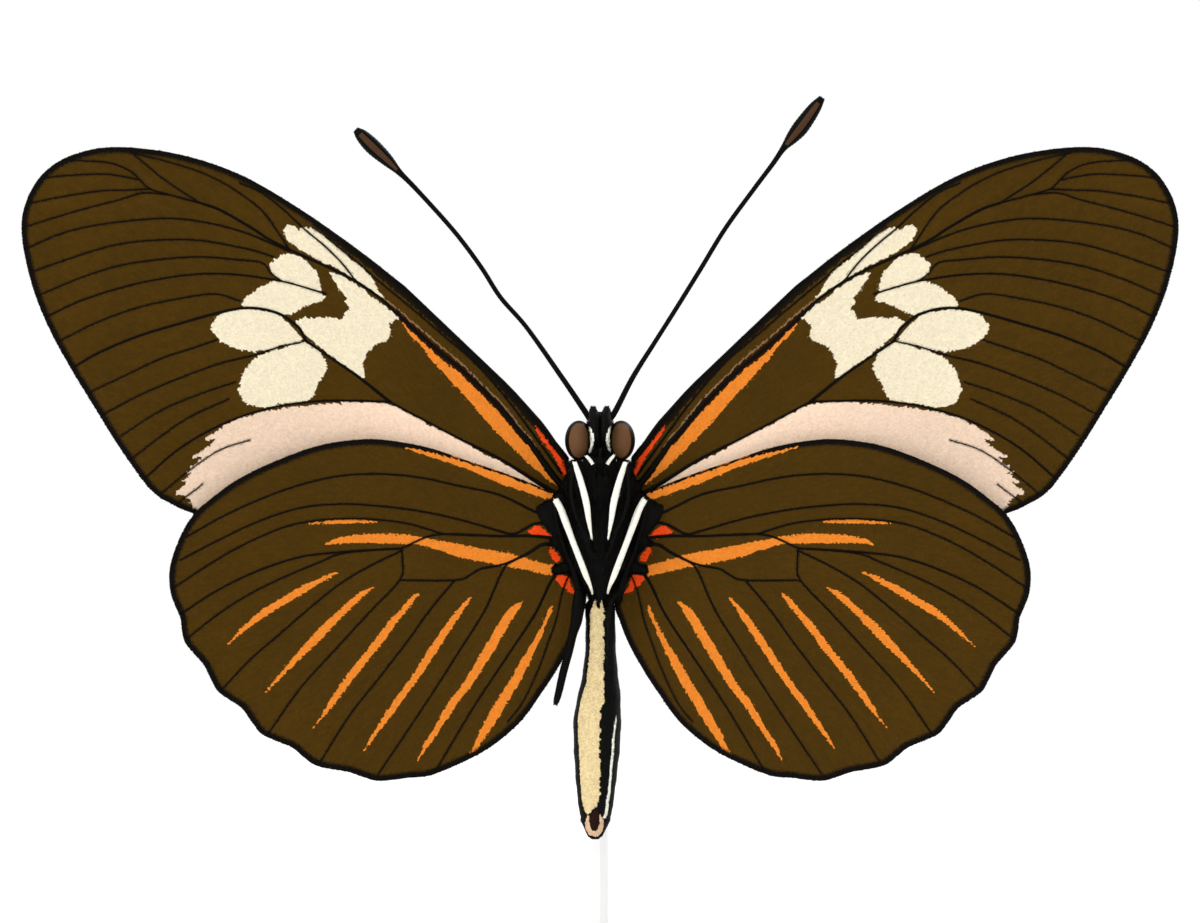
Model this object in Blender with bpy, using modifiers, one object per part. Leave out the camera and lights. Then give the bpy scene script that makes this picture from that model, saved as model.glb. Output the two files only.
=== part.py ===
"""A life-size postman butterfly with its wings spread and its underside towards -Y, on a plain stand.

Metres, +Z up. The origin is under the middle of the stand's base, on the floor.
"""

import math

import bmesh
import bpy
from mathutils import Vector
from mathutils.geometry import delaunay_2d_cdt

# Driving sizes
MM = 0.001
WINGSPAN = 72 * MM
GAP = 0.3 * MM  # kept between pieces that touch
SLOPING_GAP = 0.42 * MM  # the same, measured sideways where the thorax's side slopes
GROWN_GAP = 0.34 * MM  # the same, measured level where the head's surface slopes
MEMBRANE = 0.5 * MM  # thickness of a wing
WING_ARCH = 0.8 * MM  # how far the wing tips bend back from the wing's plane
VEIN_HEIGHT = 0.13 * MM  # of a thick vein's ridge on each face, at its root
VEIN_HALF_WIDTH = 0.22 * MM
VEIN_TAPER = 0.45  # of both, lost by the margin
FOREWING_PLANE = 0.9 * MM
HINDWING_PLANE = -0.2 * MM
LEG_RADIUS = 0.26 * MM
FEELER_RADIUS = 0.25 * MM
TONGUE_RADIUS = 0.2 * MM
TONGUE_COIL = 0.42 * MM
TAIL_HEIGHT = 9 * MM  # tip of the abdomen above the floor
BASE_RADIUS = 13 * MM
BASE_THICKNESS = 3 * MM
BASE_EDGE = 0.5 * MM
ROD_RADIUS = 0.5 * MM
ROD_PLACE = 4.4 * MM  # behind the middle of the body
ROD_BEND = 1.7 * MM
ROD_TOP_ROW = 530

# Places read from the picture are (column, row) pairs of its pixels, for the viewer's left side
SPAN_PIXELS = 1156
MIDLINE = 600
TAIL_ROW = 839
PIXEL = WINGSPAN / SPAN_PIXELS

FOREWING_EDGE = (
    (571, 466), (569, 458), (555, 440), (521, 400), (482, 360), (440, 320), (400, 283),
    (360, 251), (300, 209), (240, 174.5), (180, 154.5), (120, 147), (80, 152.5), (50, 167.5),
    (30, 193), (21.5, 228), (30, 278), (47, 324), (70, 367), (95, 408), (120, 448),
    (150, 489), (170, 503), (192, 513), (215, 515), (300, 497), (400, 487), (500, 488), (545, 497),
)
HINDWING_EDGE = (
    (548, 490), (510, 475), (470, 461.5), (430, 448), (390, 440.5), (360, 439.5), (320, 445.5),
    (280, 459.5), (240, 478.5), (210, 500), (194, 515), (181, 537), (171, 567), (172, 594),
    (181, 617), (186, 642), (205, 665), (219, 691), (243, 708), (262, 733), (293, 747),
    (316, 764.5), (350, 771.5), (378, 780), (410, 777), (430, 775), (460, 763), (490, 747),
    (520, 722), (540, 695), (560, 664), (574, 632), (577, 610),
)
FOREWING_ROOT_ROWS = (476, 506)
HINDWING_ROOT_ROWS = (495, 592)

# Veins, from the root or a junction outwards, each with its thickness beside the thickest
FOREWING_VEINS = (
    (1.0, (572, 470), (555, 442), (521, 402), (482, 362), (440, 322), (400, 285), (360, 253), (300, 211)),
    (1.0, (556, 481), (520, 427), (480, 382), (440, 348), (400, 313), (357, 281), (310, 259), (250, 227)),
    (0.7, (250, 227), (200, 203), (150, 189), (128, 170), (95, 161), (78, 161)),
    (0.7, (548, 464), (500, 395), (450, 344), (400, 301), (360, 268), (335, 240), (322, 229)),
    (0.6, (350, 275), (320, 245), (285, 211), (253, 189)),
    (0.6, (300, 254), (270, 219), (225, 184), (180, 165), (150, 157)),
    (0.6, (143, 184), (120, 176), (90, 174), (60, 176)),
    (0.6, (160, 191), (120, 190), (80, 193), (45, 201)),
    (0.6, (200, 203), (143, 193), (80, 210), (38, 223)),
    (0.7, (288, 249), (240, 231), (200, 221.5), (160, 218.5), (100, 224.5), (60, 234), (38, 244)),
    (0.7, (345, 275), (330, 294), (280, 281), (240, 275), (200, 274), (140, 283), (80, 301), (60, 311)),
    (0.7, (330, 294), (306, 341), (282, 315), (240, 308.5), (180, 323.5), (100, 352), (86, 361)),
    (1.0, (549, 489), (500, 459), (460, 439), (420, 418), (390, 402), (340, 364), (306, 341)),
    (0.7, (306, 341), (255, 355), (180, 378), (117, 407)),
    (0.8, (390, 402), (320, 401), (280, 406), (240, 417), (205, 433), (175, 452), (154, 471)),
)
HINDWING_VEINS = (
    (0.8, (543, 516), (500, 495), (460, 486), (420, 477.5), (380, 474), (300, 485), (220, 518), (196, 531)),
    (0.8, (540, 524), (500, 531), (460, 519.5), (380, 506), (300, 508), (220, 539.5), (192, 554)),
    (0.8, (447, 534), (400, 522), (350, 518.5), (300, 523), (220, 558), (182, 582)),
    (1.0, (546, 535), (500, 536), (430, 536), (402, 548), (340, 552), (300, 557), (220, 589), (190, 610)),
    (0.7, (345, 552), (280, 579), (220, 613), (198, 632)),
    (0.7, (397, 550), (340, 584), (280, 634), (231, 681)),
    (0.7, (403, 550), (403, 562), (400, 580), (335, 650), (300, 689), (276, 724)),
    (1.0, (547, 546), (512, 561), (480, 569), (448, 580), (400, 580)),
    (0.7, (448, 582), (410, 638), (350, 715), (327, 751)),
    (0.8, (503, 565), (485, 610), (430, 697), (384, 763)),
    (0.8, (556, 578), (535, 614), (480, 697), (441, 760)),
    (0.8, (564, 594), (551, 635), (528, 690), (514, 713)),
)

# Cross-sections: row, middle column, then half width, half depth and middle depth in millimetres
THORAX_SECTIONS = (
    (598, 600, 0.95, 1.00, -0.30),
    (588, 600, 1.40, 1.50, -0.30),
    (565, 600, 2.15, 2.15, -0.25),
    (540, 600, 2.60, 2.45, -0.20),
    (515, 600, 2.65, 2.45, -0.15),
    (492, 600, 2.20, 2.10, -0.15),
    (476, 600, 1.55, 1.55, -0.20),
    (466.5, 600, 1.05, 1.10, -0.25),
)
HEAD_SECTIONS = (
    (461.5, 600, 1.00, 1.05, -0.25),
    (455, 600, 1.10, 1.30, -0.25),
    (441, 600, 1.15, 1.50, -0.20),
    (426, 600, 1.05, 1.35, -0.10),
    (416, 600, 0.80, 1.00, 0.00),
    (411, 600, 0.45, 0.55, 0.10),
)
ABDOMEN_SECTIONS = (
    (838.5, 595, 0.25, 0.25, -0.45),
    (834, 595, 0.55, 0.55, -0.42),
    (826, 595.3, 0.84, 0.84, -0.40),
    (810, 595.7, 1.06, 1.06, -0.35),
    (780, 596, 1.29, 1.32, -0.25),
    (740, 597, 1.49, 1.52, -0.15),
    (716, 597.3, 1.51, 1.55, -0.10),
    (690, 599.5, 1.30, 1.40, -0.12),
    (660, 600.5, 1.02, 1.15, -0.20),
    (625, 600.5, 0.95, 1.03, -0.27),
    (602.8, 600, 0.95, 1.00, -0.30),
)
SEGMENT_ROWS = (838.5, 814, 792, 766, 738, 709, 680, 650, 622, 602.8)  # ends of the abdomen's rings
SEGMENT_SHAPE = ((0.0, 0.94), (0.15, 1.0), (0.8, 1.02))  # place along a ring, and its width there

# The eyes, feelers, palps and legs: column, row and depth in millimetres
EYE_MIDDLE = (579.9, 440.5, -0.20)
EYE_RADII = (0.93, 1.30, 1.27)
LEFT_FEELER = (
    (584, 410), (563, 379), (527, 328), (501, 298), (483, 270), (465, 245), (447, 223),
    (416, 189), (400, 173), (387, 160), (373, 147), (362, 136), (356, 130),
)
RIGHT_FEELER = (
    (616, 410), (633, 377), (655, 342), (674, 312), (700, 270), (725, 229), (754, 189),
    (772, 165), (783, 149), (792, 138), (801, 127), (814, 109), (822, 98),
)
CLUB_WIDTHS = (1.0, 1.25, 1.55, 1.3, 0.6)  # of the shaft's radius, over a feeler's last points
FEELER_DEPTH = 0.35
PALP_PATH = ((593, 441, -2.3), (593, 430, -2.2), (593, 418, -1.75), (593, 408, -1.25))
PALP_WIDTHS = (0.9, 1.0, 0.95, 0.5)
TONGUE_ROOT = ((600, 448.5, -1.98), (600, 449.5, -2.2))
TONGUE_MIDDLE = (600, 457.5, -2.46)  # of its coil
# Each leg's pieces, from the body outwards. Only the right hind foot, on the viewer's left, trails free.
FORELEG = (((591.5, 475, -2.2), (588.3, 466, -2.28), (584.5, 456, -2.15)),)
MIDLEG = (
    ((593, 543, -3.2), (591, 535, -3.2), (584, 500, -3.0), (575.5, 469, -2.25)),
    ((574.5, 467, -2.2), (571.5, 492, -2.75), (576.5, 515, -3.1), (584.5, 532, -3.2), (589.5, 548, -3.2)),
    ((589, 546, -3.2), (593, 556, -3.15)),
)
HINDLEG = (
    ((592.5, 594, -2.1), (589.5, 584, -2.6), (577, 548, -3.05), (556, 500, -1.95)),
    ((557, 498, -1.95), (550, 516, -1.45), (553, 545, -1.3), (563, 572, -1.25), (574, 597, -1.3)),
)
FREE_FOOT = ((574, 594, -1.3), (573, 625, -1.3), (568, 650, -1.3), (561, 682, -1.3), (556, 703, -1.35))
FOLDED_FOOT = ((574, 594, -1.3), (580, 612, -1.75), (587, 640, -2.0), (590, 668, -2.0))
SHIN_WIDTH, FOOT_WIDTH = 0.9, 0.8  # of the thigh's, at each piece's far end


def across(column):
    """Distance from the body's midline of a column on the viewer's left."""
    return (MIDLINE - column) * PIXEL


def height(row):
    return TAIL_HEIGHT + (TAIL_ROW - row) * PIXEL


def place(column, row, depth):
    """The point at a column and row, with its depth in millimetres."""
    return Vector((-across(column), depth * MM, height(row)))


def mirrored(point, side):
    """A point of the viewer's left, for side -1, or its mirror image, for side 1."""
    return Vector((-side * point.x, point.y, point.z))


def spline_point(before, start, end, after, t):
    """Catmull-Rom spline between start and end."""
    return 0.5 * (
        2 * start
        + (end - before) * t
        + (2 * before - 5 * start + 4 * end - after) * t**2
        + (3 * start - before - 3 * end + after) * t**3
    )


def smooth_path(points, spacing):
    """Points along a smooth curve through the given ones, at most a spacing apart."""
    points = [Vector(p) for p in points]
    path = []
    for i in range(len(points) - 1):
        before = points[max(i - 1, 0)]
        after = points[min(i + 2, len(points) - 1)]
        steps = max(1, math.ceil((points[i + 1] - points[i]).length / spacing))
        path += [
            spline_point(before, points[i], points[i + 1], after, step / steps)
            for step in range(steps)
        ]
    return path + [points[-1]]


def section_at(sections, z):
    """Middle x, half width, half depth and middle depth at a height, between the sections given."""
    rows = [(height(row), -across(column), *(size * MM for size in sizes))
            for row, column, *sizes in sections]
    last = len(rows) - 1
    i = max([k for k in range(last) if rows[k][0] <= z], default=0)
    low, high = Vector(rows[i]), Vector(rows[i + 1])
    before, after = Vector(rows[max(i - 1, 0)]), Vector(rows[min(i + 2, last)])
    span = high[0] - low[0]
    t = (z - low[0]) / span
    start_slope = (high - before) / (high[0] - before[0]) * span
    end_slope = (after - low) / (after[0] - low[0]) * span
    value = (
        low * (2 * t**3 - 3 * t**2 + 1)
        + start_slope * (t**3 - 2 * t**2 + t)
        + high * (3 * t**2 - 2 * t**3)
        + end_slope * (t**3 - t**2)
    )
    return value[1:]


def thorax_side(y, z):
    """Half width of the thorax at a depth and height, and 0 past its ends."""
    if not height(THORAX_SECTIONS[0][0]) <= z <= height(THORAX_SECTIONS[-1][0]):
        return 0.0
    _, half_width, half_depth, middle = section_at(THORAX_SECTIONS, z)
    return half_width * math.sqrt(max(0.0, 1 - ((y - middle) / half_depth) ** 2))


def material(name, colour, roughness, metallic=0.0):
    made = bpy.data.materials.new(name)
    made.use_nodes = True
    shader = made.node_tree.nodes["Principled BSDF"]
    shader.inputs["Base Color"].default_value = (*colour, 1.0)
    shader.inputs["Roughness"].default_value = roughness
    shader.inputs["Metallic"].default_value = metallic
    return made


def add_object(name, data, collection, surface=None):
    made = bpy.data.objects.new(name, data)
    collection.objects.link(made)
    if surface:
        data.materials.append(surface)
    return made


def add_mesh(name, mesh_builder, collection, surface=None):
    """An object from a bmesh, with its normals out and its faces smooth."""
    bmesh.ops.recalc_face_normals(mesh_builder, faces=mesh_builder.faces)
    mesh = bpy.data.meshes.new(name)
    mesh_builder.to_mesh(mesh)
    mesh_builder.free()
    mesh.shade_smooth()
    mesh.set_sharp_from_angle(angle=math.radians(40))
    return add_object(name, mesh, collection, surface)


def add_loft(name, sections, rows, sides, collection, surface=None, grown=0.0, scales=None):
    """A body of elliptical rings at the given rows. Each ring may be scaled."""
    builder = bmesh.new()
    rings = []
    for number, row in enumerate(rows):
        z = height(row)
        middle_x, half_width, half_depth, middle_y = section_at(sections, z)
        scale = scales[number] if scales else 1.0
        ring = []
        for k in range(sides):
            angle = math.tau * k / sides
            x = middle_x + (half_width * scale + grown) * math.cos(angle)
            y = middle_y + (half_depth * scale + grown) * math.sin(angle)
            ring.append(builder.verts.new((x, y, z)))
        rings.append(ring)
    for low, high in zip(rings, rings[1:]):
        for k in range(sides):
            n = (k + 1) % sides
            builder.faces.new((low[k], low[n], high[n], high[k]))
    builder.faces.new(rings[0])
    builder.faces.new(rings[-1])
    return add_mesh(name, builder, collection, surface)


def even_rows(sections, count):
    first, last = sections[0][0], sections[-1][0]
    return [first + (last - first) * k / count for k in range(count + 1)]


def add_tube(name, points, radii, collection, surface, spacing=None):
    """A round tube along points, its radius changing evenly from each to the next."""
    curve = bpy.data.curves.new(name, "CURVE")
    curve.dimensions = "3D"
    curve.bevel_depth = 1.0
    curve.bevel_resolution = 2
    curve.use_fill_caps = True
    stations = [Vector((*point, radius)) for point, radius in zip(points, radii)]
    if spacing:
        stations = smooth_path(stations, spacing)
    spline = curve.splines.new("POLY")
    spline.points.add(len(stations) - 1)
    for point, station in zip(spline.points, stations):
        point.co = (*station[:3], 1.0)
        point.radius = station[3]
    return add_object(name, curve, collection, surface)


def mesh_of(curve_object):
    """A mesh object in place of a tube's curve, with its caps joined to its sides."""
    graph = bpy.context.evaluated_depsgraph_get()
    mesh = bpy.data.meshes.new_from_object(curve_object.evaluated_get(graph))
    builder = bmesh.new()
    builder.from_mesh(mesh)
    bmesh.ops.remove_doubles(builder, verts=builder.verts, dist=0.001 * MM)
    builder.to_mesh(mesh)
    builder.free()
    made = bpy.data.objects.new(curve_object.name + "_mesh", mesh)
    made.matrix_world = curve_object.matrix_world
    bpy.data.objects.remove(curve_object)
    return made


def keep_largest(mesh):
    """Drops every closed surface of a mesh but the one with the most faces."""
    builder = bmesh.new()
    builder.from_mesh(mesh)
    left = set(builder.faces)
    shells = []
    while left:
        shell, edge_of_shell = set(), [next(iter(left))]
        while edge_of_shell:
            face = edge_of_shell.pop()
            if face in shell:
                continue
            shell.add(face)
            edge_of_shell += [f for e in face.edges for f in e.link_faces if f not in shell]
        shells.append(shell)
        left -= shell
    largest = max(shells, key=len)
    scraps = [face for shell in shells if shell is not largest for face in shell]
    bmesh.ops.delete(builder, geom=scraps, context="FACES")
    builder.to_mesh(mesh)
    builder.free()


def union_of(name, first, others):
    """The mesh of overlapping objects joined, without the scraps that a Boolean can leave."""
    joining = bpy.data.collections.new(name + "_pieces")
    bpy.context.scene.collection.children.link(joining)
    for piece in others:
        joining.objects.link(piece)
    union = first.modifiers.new("union", "BOOLEAN")
    union.operation = "UNION"
    union.operand_type = "COLLECTION"
    union.collection = joining
    graph = bpy.context.evaluated_depsgraph_get()
    mesh = bpy.data.meshes.new_from_object(first.evaluated_get(graph))
    first.modifiers.clear()
    for piece in others:
        bpy.data.objects.remove(piece)
    bpy.data.collections.remove(joining)
    keep_largest(mesh)
    return mesh


def join_tubes(name, tubes, collection, surface):
    """One closed object from tubes that overlap."""
    joined, *others = [mesh_of(tube) for tube in tubes]
    collection.objects.link(joined)
    if others:
        joined.data = union_of(name, joined, others)
    joined.name = name
    joined.data.materials.clear()
    joined.data.materials.append(surface)
    return joined


def wing_outline(edge, root_rows, plane):
    """Corners of a wing as (distance from the midline, height), from its root along its leading edge
    and back to the root, whose own points lie a little inside the thorax."""
    sunk = 0.2 * MM
    margin_step = 1.1 * MM
    root_steps = 8
    first, last = root_rows
    margin = smooth_path([(across(c), height(r)) for c, r in edge], margin_step)
    root = []
    for k in range(root_steps + 1):
        z = height(last + (first - last) * k / root_steps)
        root.append(Vector((thorax_side(plane, z) + GAP - sunk, z)))
    return margin + root


def distance_along(point, path):
    """Distance from a point to a path, and how far along the path it is nearest, from 0 to 1."""
    nearest, share = math.inf, 0.0
    for k, (start, end) in enumerate(zip(path, path[1:])):
        run = end - start
        t = min(1.0, max(0.0, (point - start).dot(run) / run.length_squared))
        distance = (point - start - t * run).length
        if distance < nearest:
            nearest, share = distance, (k + t) / (len(path) - 1)
    return nearest, share


def is_inside(point, outline):
    crossings = 0
    for start, end in zip(outline, outline[1:] + outline[:1]):
        if (start.y > point.y) != (end.y > point.y):
            t = (point.y - start.y) / (end.y - start.y)
            crossings += start.x + t * (end.x - start.x) > point.x
    return crossings % 2 == 1


def inner_points(outline, veins, spacing, clear):
    """A grid of points inside an outline and clear of it and the veins, so that the wing can bend."""
    wide = max(p.x for p in outline)
    low, high = min(p.y for p in outline), max(p.y for p in outline)
    lines = [outline] + [path for _, path in veins]
    points = []
    for i in range(1, math.ceil(wide / spacing)):
        for j in range(1, math.ceil((high - low) / spacing)):
            point = Vector((i * spacing, low + j * spacing))
            if is_inside(point, outline) and min(distance_along(point, line)[0] for line in lines) > clear:
                points.append(point)
    return points


def vein_lines(thickness, path):
    """A vein's own line and the two lines where its ridge meets the wing."""
    sides = ([], [])
    for k, point in enumerate(path):
        before, after = path[max(k - 1, 0)], path[min(k + 1, len(path) - 1)]
        run = (after - before).normalized()
        width = VEIN_HALF_WIDTH * thickness * (1 - VEIN_TAPER * k / (len(path) - 1))
        sides[0].append(point + width * Vector((-run.y, run.x)))
        sides[1].append(point - width * Vector((-run.y, run.x)))
    return (path, *sides)


def ridge_height(point, veins):
    """How far the veins raise a wing's face at a point."""
    height_there = 0.0
    for thickness, path in veins:
        distance, share = distance_along(point, path)
        left = thickness * (1 - VEIN_TAPER * share)
        height_there = max(height_there, VEIN_HEIGHT * left - distance * VEIN_HEIGHT / VEIN_HALF_WIDTH)
    return height_there


def wing_plan(edge, root_rows, plane, vein_places):
    """Points and lines that a wing's faces are split along, and its veins."""
    margin_clear, vein_step, bend_step, bend_clear = 0.12 * MM, 2.2 * MM, 3.5 * MM, 1.0 * MM
    outline = wing_outline(edge, root_rows, plane)
    veins = [
        (thickness, smooth_path([(across(c), height(r)) for c, r in places], vein_step))
        for thickness, *places in vein_places
    ]
    points = list(outline)
    edges = [(k, (k + 1) % len(outline)) for k in range(len(outline))]
    closed = outline + outline[:1]
    for line in (line for vein in veins for line in vein_lines(*vein)):
        before = None
        for point in line:
            if is_inside(point, outline) and distance_along(point, closed)[0] > margin_clear:
                points.append(point)
                if before is not None:
                    edges.append((before, len(points) - 1))
                before = len(points) - 1
            else:
                before = None
    return points + inner_points(outline, veins, bend_step, bend_clear), edges, veins


def add_wing(name, side, plan, plane, collection, surface):
    """A thin wing. Both faces are split into the same triangles, and its root follows the thorax."""
    points, edges, veins = plan
    inside_only, least_edge = 1, 0.02
    found, _, triangles, *_ = delaunay_2d_cdt([p / MM for p in points], edges, [], inside_only, least_edge)

    builder = bmesh.new()
    corners = {}
    for k in {corner for triangle in triangles for corner in triangle}:
        out, z = found[k] * MM
        bend = WING_ARCH * (out / (WINGSPAN / 2)) ** 2
        half_thickness = MEMBRANE / 2 + ridge_height(Vector((out, z)), veins)
        for towards in (-1, 1):
            y = plane + bend + towards * half_thickness
            clear = max(out, thorax_side(y, z) + SLOPING_GAP)
            corners[towards, k] = builder.verts.new((side * clear, y, z))
    uses = {}
    for triangle in triangles:
        for towards in (-1, 1):
            builder.faces.new([corners[towards, k] for k in triangle])
        for a, b in zip(triangle, (*triangle[1:], triangle[0])):
            uses.setdefault(frozenset((a, b)), []).append((a, b))
    for a, b in (pairs[0] for pairs in uses.values() if len(pairs) == 1):
        builder.faces.new((corners[-1, a], corners[-1, b], corners[1, b], corners[1, a]))
    return add_mesh(name, builder, collection, surface)


def cut_with(target, cutter):
    cutter.hide_render = True
    cutter.display_type = "WIRE"
    cut = target.modifiers.new("cut", "BOOLEAN")
    cut.object = cutter
    cut.operation = "DIFFERENCE"


def add_eye(name, side, cutter, collection, surface):
    builder = bmesh.new()
    bmesh.ops.create_uvsphere(builder, u_segments=20, v_segments=12, radius=MM)
    for vertex in builder.verts:
        vertex.co = Vector(a * b for a, b in zip(vertex.co, EYE_RADII))
    eye = add_mesh(name, builder, collection, surface)
    eye.location = mirrored(place(*EYE_MIDDLE), side)
    cut_with(eye, cutter)
    return eye


def add_feeler(name, path, collection, surface):
    points = [place(column, row, FEELER_DEPTH) for column, row in path]
    plain = len(points) - len(CLUB_WIDTHS)
    radii = [FEELER_RADIUS * width for width in (1.0,) * plain + CLUB_WIDTHS]
    return add_tube(name, points, radii, collection, surface)


def add_palp(name, side, collection, surface):
    points = [mirrored(place(*point), side) for point in PALP_PATH]
    radii = [FEELER_RADIUS * width for width in PALP_WIDTHS]
    step = 0.4 * MM
    return add_tube(name, points, radii, collection, surface, step)


def add_tongue(collection, surface):
    """The sucking tongue, coiled below the head in the body's middle plane."""
    points = [place(*point) for point in TONGUE_ROOT]
    coil_steps, coil_turn = 12, 1.5 * math.pi
    for k in range(coil_steps + 1):
        angle = coil_turn * k / coil_steps
        arm = Vector((0, -math.sin(angle), math.cos(angle)))
        points.append(place(*TONGUE_MIDDLE) + TONGUE_COIL * arm)
    add_tube("proboscis", points, [TONGUE_RADIUS] * len(points), collection, surface)


def add_leg(name, side, pieces, collection, surface):
    """A leg of joined tubes, each piece a little thinner than the one before."""
    widths = (1.0, SHIN_WIDTH, FOOT_WIDTH, FOOT_WIDTH)
    step = 0.9 * MM
    tubes = []
    for number, piece in enumerate(pieces):
        points = [mirrored(place(*point), side) for point in piece]
        start, end = (LEG_RADIUS * width for width in widths[number:number + 2])
        radii = [start + (end - start) * k / (len(points) - 1) for k in range(len(points))]
        tubes.append(add_tube(f"{name}_{number}", points, radii, collection, surface, step))
    return join_tubes(name, tubes, collection, surface)


def add_stand(collection, painted, steel):
    builder = bmesh.new()
    bmesh.ops.create_cone(
        builder, cap_ends=True, segments=48, radius1=BASE_RADIUS, radius2=BASE_RADIUS, depth=BASE_THICKNESS
    )
    base = add_mesh("stand_base", builder, collection, painted)
    base.location = (0, 0, BASE_THICKNESS / 2)
    bevel = base.modifiers.new("edge", "BEVEL")
    bevel.width = BASE_EDGE
    bevel.segments = 2

    top = height(ROD_TOP_ROW)
    _, _, half_depth, middle = section_at(THORAX_SECTIONS, top)
    end = middle + half_depth + GAP
    corner_y, corner_z = ROD_PLACE - ROD_BEND, top - ROD_BEND
    points = [Vector((0, ROD_PLACE, BASE_THICKNESS + GAP))]
    bend_steps = 8
    for k in range(bend_steps + 1):
        angle = math.pi / 2 * k / bend_steps
        y = corner_y + ROD_BEND * math.cos(angle)
        points.append(Vector((0, y, corner_z + ROD_BEND * math.sin(angle))))
    points.append(Vector((0, end, top)))
    add_tube("stand_rod", points, [ROD_RADIUS] * len(points), collection, steel)


def add_abdomen(collection, surface):
    """Rings that swell between their narrower ends."""
    rows, scales = [], []
    for low, high in zip(SEGMENT_ROWS, SEGMENT_ROWS[1:]):
        for share, scale in SEGMENT_SHAPE:
            rows.append(low + share * (high - low))
            scales.append(scale)
    rows.append(SEGMENT_ROWS[-1])
    scales.append(SEGMENT_SHAPE[0][1])
    add_loft("abdomen", ABDOMEN_SECTIONS, rows, 16, collection, surface, scales=scales)


def add_body(parts, cutters, surfaces):
    rows = even_rows(THORAX_SECTIONS, 12)
    add_loft("thorax", THORAX_SECTIONS, rows, 24, parts, surfaces["fur"])
    rows = even_rows(HEAD_SECTIONS, 8)
    add_loft("head", HEAD_SECTIONS, rows, 20, parts, surfaces["fur"])
    grown_head = add_loft("head_cutter", HEAD_SECTIONS, rows, 20, cutters, grown=GROWN_GAP)
    add_abdomen(parts, surfaces["fur"])
    for suffix, side, foot in (("left", 1, FOLDED_FOOT), ("right", -1, FREE_FOOT)):
        add_eye("eye_" + suffix, side, grown_head, parts, surfaces["eye"])
        add_palp("palp_" + suffix, side, parts, surfaces["fur"])
        add_leg("foreleg_" + suffix, side, FORELEG, parts, surfaces["leg"])
        add_leg("midleg_" + suffix, side, MIDLEG, parts, surfaces["leg"])
        add_leg("hindleg_" + suffix, side, (*HINDLEG, foot), parts, surfaces["leg"])
    add_tongue(parts, surfaces["feeler"])
    add_feeler("antenna_left", RIGHT_FEELER, parts, surfaces["feeler"])
    add_feeler("antenna_right", LEFT_FEELER, parts, surfaces["feeler"])


def add_wings(parts, surfaces):
    for wing, edge, root_rows, plane, veins in (
        ("forewing", FOREWING_EDGE, FOREWING_ROOT_ROWS, FOREWING_PLANE, FOREWING_VEINS),
        ("hindwing", HINDWING_EDGE, HINDWING_ROOT_ROWS, HINDWING_PLANE, HINDWING_VEINS),
    ):
        plan = wing_plan(edge, root_rows, plane, veins)
        for suffix, side in (("left", 1), ("right", -1)):
            add_wing(f"{wing}_{suffix}", side, plan, plane, parts, surfaces[wing])


def main():
    for thing in list(bpy.data.objects):
        bpy.data.objects.remove(thing)
    parts = bpy.data.collections.new("postman_butterfly")
    cutters = bpy.data.collections.new("cutters")
    for collection in (parts, cutters):
        bpy.context.scene.collection.children.link(collection)
    surfaces = {
        "fur": material("black_fur", (0.006, 0.006, 0.005), 0.85),
        "leg": material("leg_black", (0.008, 0.007, 0.006), 0.6),
        "feeler": material("feeler_brown", (0.03, 0.02, 0.012), 0.6),
        "eye": material("eye_brown", (0.15, 0.08, 0.045), 0.25),
        "forewing": material("forewing_brown", (0.07, 0.04, 0.01), 0.8),
        "hindwing": material("hindwing_brown", (0.07, 0.04, 0.01), 0.8),
        "base": material("base_white", (0.75, 0.75, 0.73), 0.45),
        "rod": material("rod_steel", (0.6, 0.6, 0.6), 0.3, 1.0),
    }
    add_body(parts, cutters, surfaces)
    add_wings(parts, surfaces)
    add_stand(parts, surfaces["base"], surfaces["rod"])


main()
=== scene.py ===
"""The looks of the postman butterfly: scales, veins, fur, eyes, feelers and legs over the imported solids.

Metres, in the frame of the solids: +Z up, the butterfly's underside towards -Y.
"""

import math

import bmesh
import bpy
import numpy as np
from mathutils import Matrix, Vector
from mathutils.geometry import delaunay_2d_cdt
from mathutils.kdtree import KDTree


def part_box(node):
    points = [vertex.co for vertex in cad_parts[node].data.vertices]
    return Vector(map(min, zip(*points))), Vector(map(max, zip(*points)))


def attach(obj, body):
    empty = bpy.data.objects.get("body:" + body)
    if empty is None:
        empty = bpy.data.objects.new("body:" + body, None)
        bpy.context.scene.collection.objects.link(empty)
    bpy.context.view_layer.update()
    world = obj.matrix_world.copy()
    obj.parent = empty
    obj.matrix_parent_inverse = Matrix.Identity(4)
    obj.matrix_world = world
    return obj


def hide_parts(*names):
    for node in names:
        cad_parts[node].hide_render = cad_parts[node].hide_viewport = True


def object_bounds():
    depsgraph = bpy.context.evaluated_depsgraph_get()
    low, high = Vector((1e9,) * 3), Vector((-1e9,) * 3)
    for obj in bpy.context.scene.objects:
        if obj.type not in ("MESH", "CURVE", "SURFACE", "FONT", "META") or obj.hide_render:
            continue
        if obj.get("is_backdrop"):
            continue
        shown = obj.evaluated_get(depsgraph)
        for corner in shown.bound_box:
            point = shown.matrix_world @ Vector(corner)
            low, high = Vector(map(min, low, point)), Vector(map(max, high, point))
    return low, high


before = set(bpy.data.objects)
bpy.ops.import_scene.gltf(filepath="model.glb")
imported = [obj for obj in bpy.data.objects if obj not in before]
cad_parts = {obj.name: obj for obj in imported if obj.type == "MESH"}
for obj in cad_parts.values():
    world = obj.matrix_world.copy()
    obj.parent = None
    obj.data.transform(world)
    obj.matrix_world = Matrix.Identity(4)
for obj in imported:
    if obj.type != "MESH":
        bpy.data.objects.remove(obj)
CAD_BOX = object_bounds()
DRAW = np.random.default_rng(7)

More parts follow.
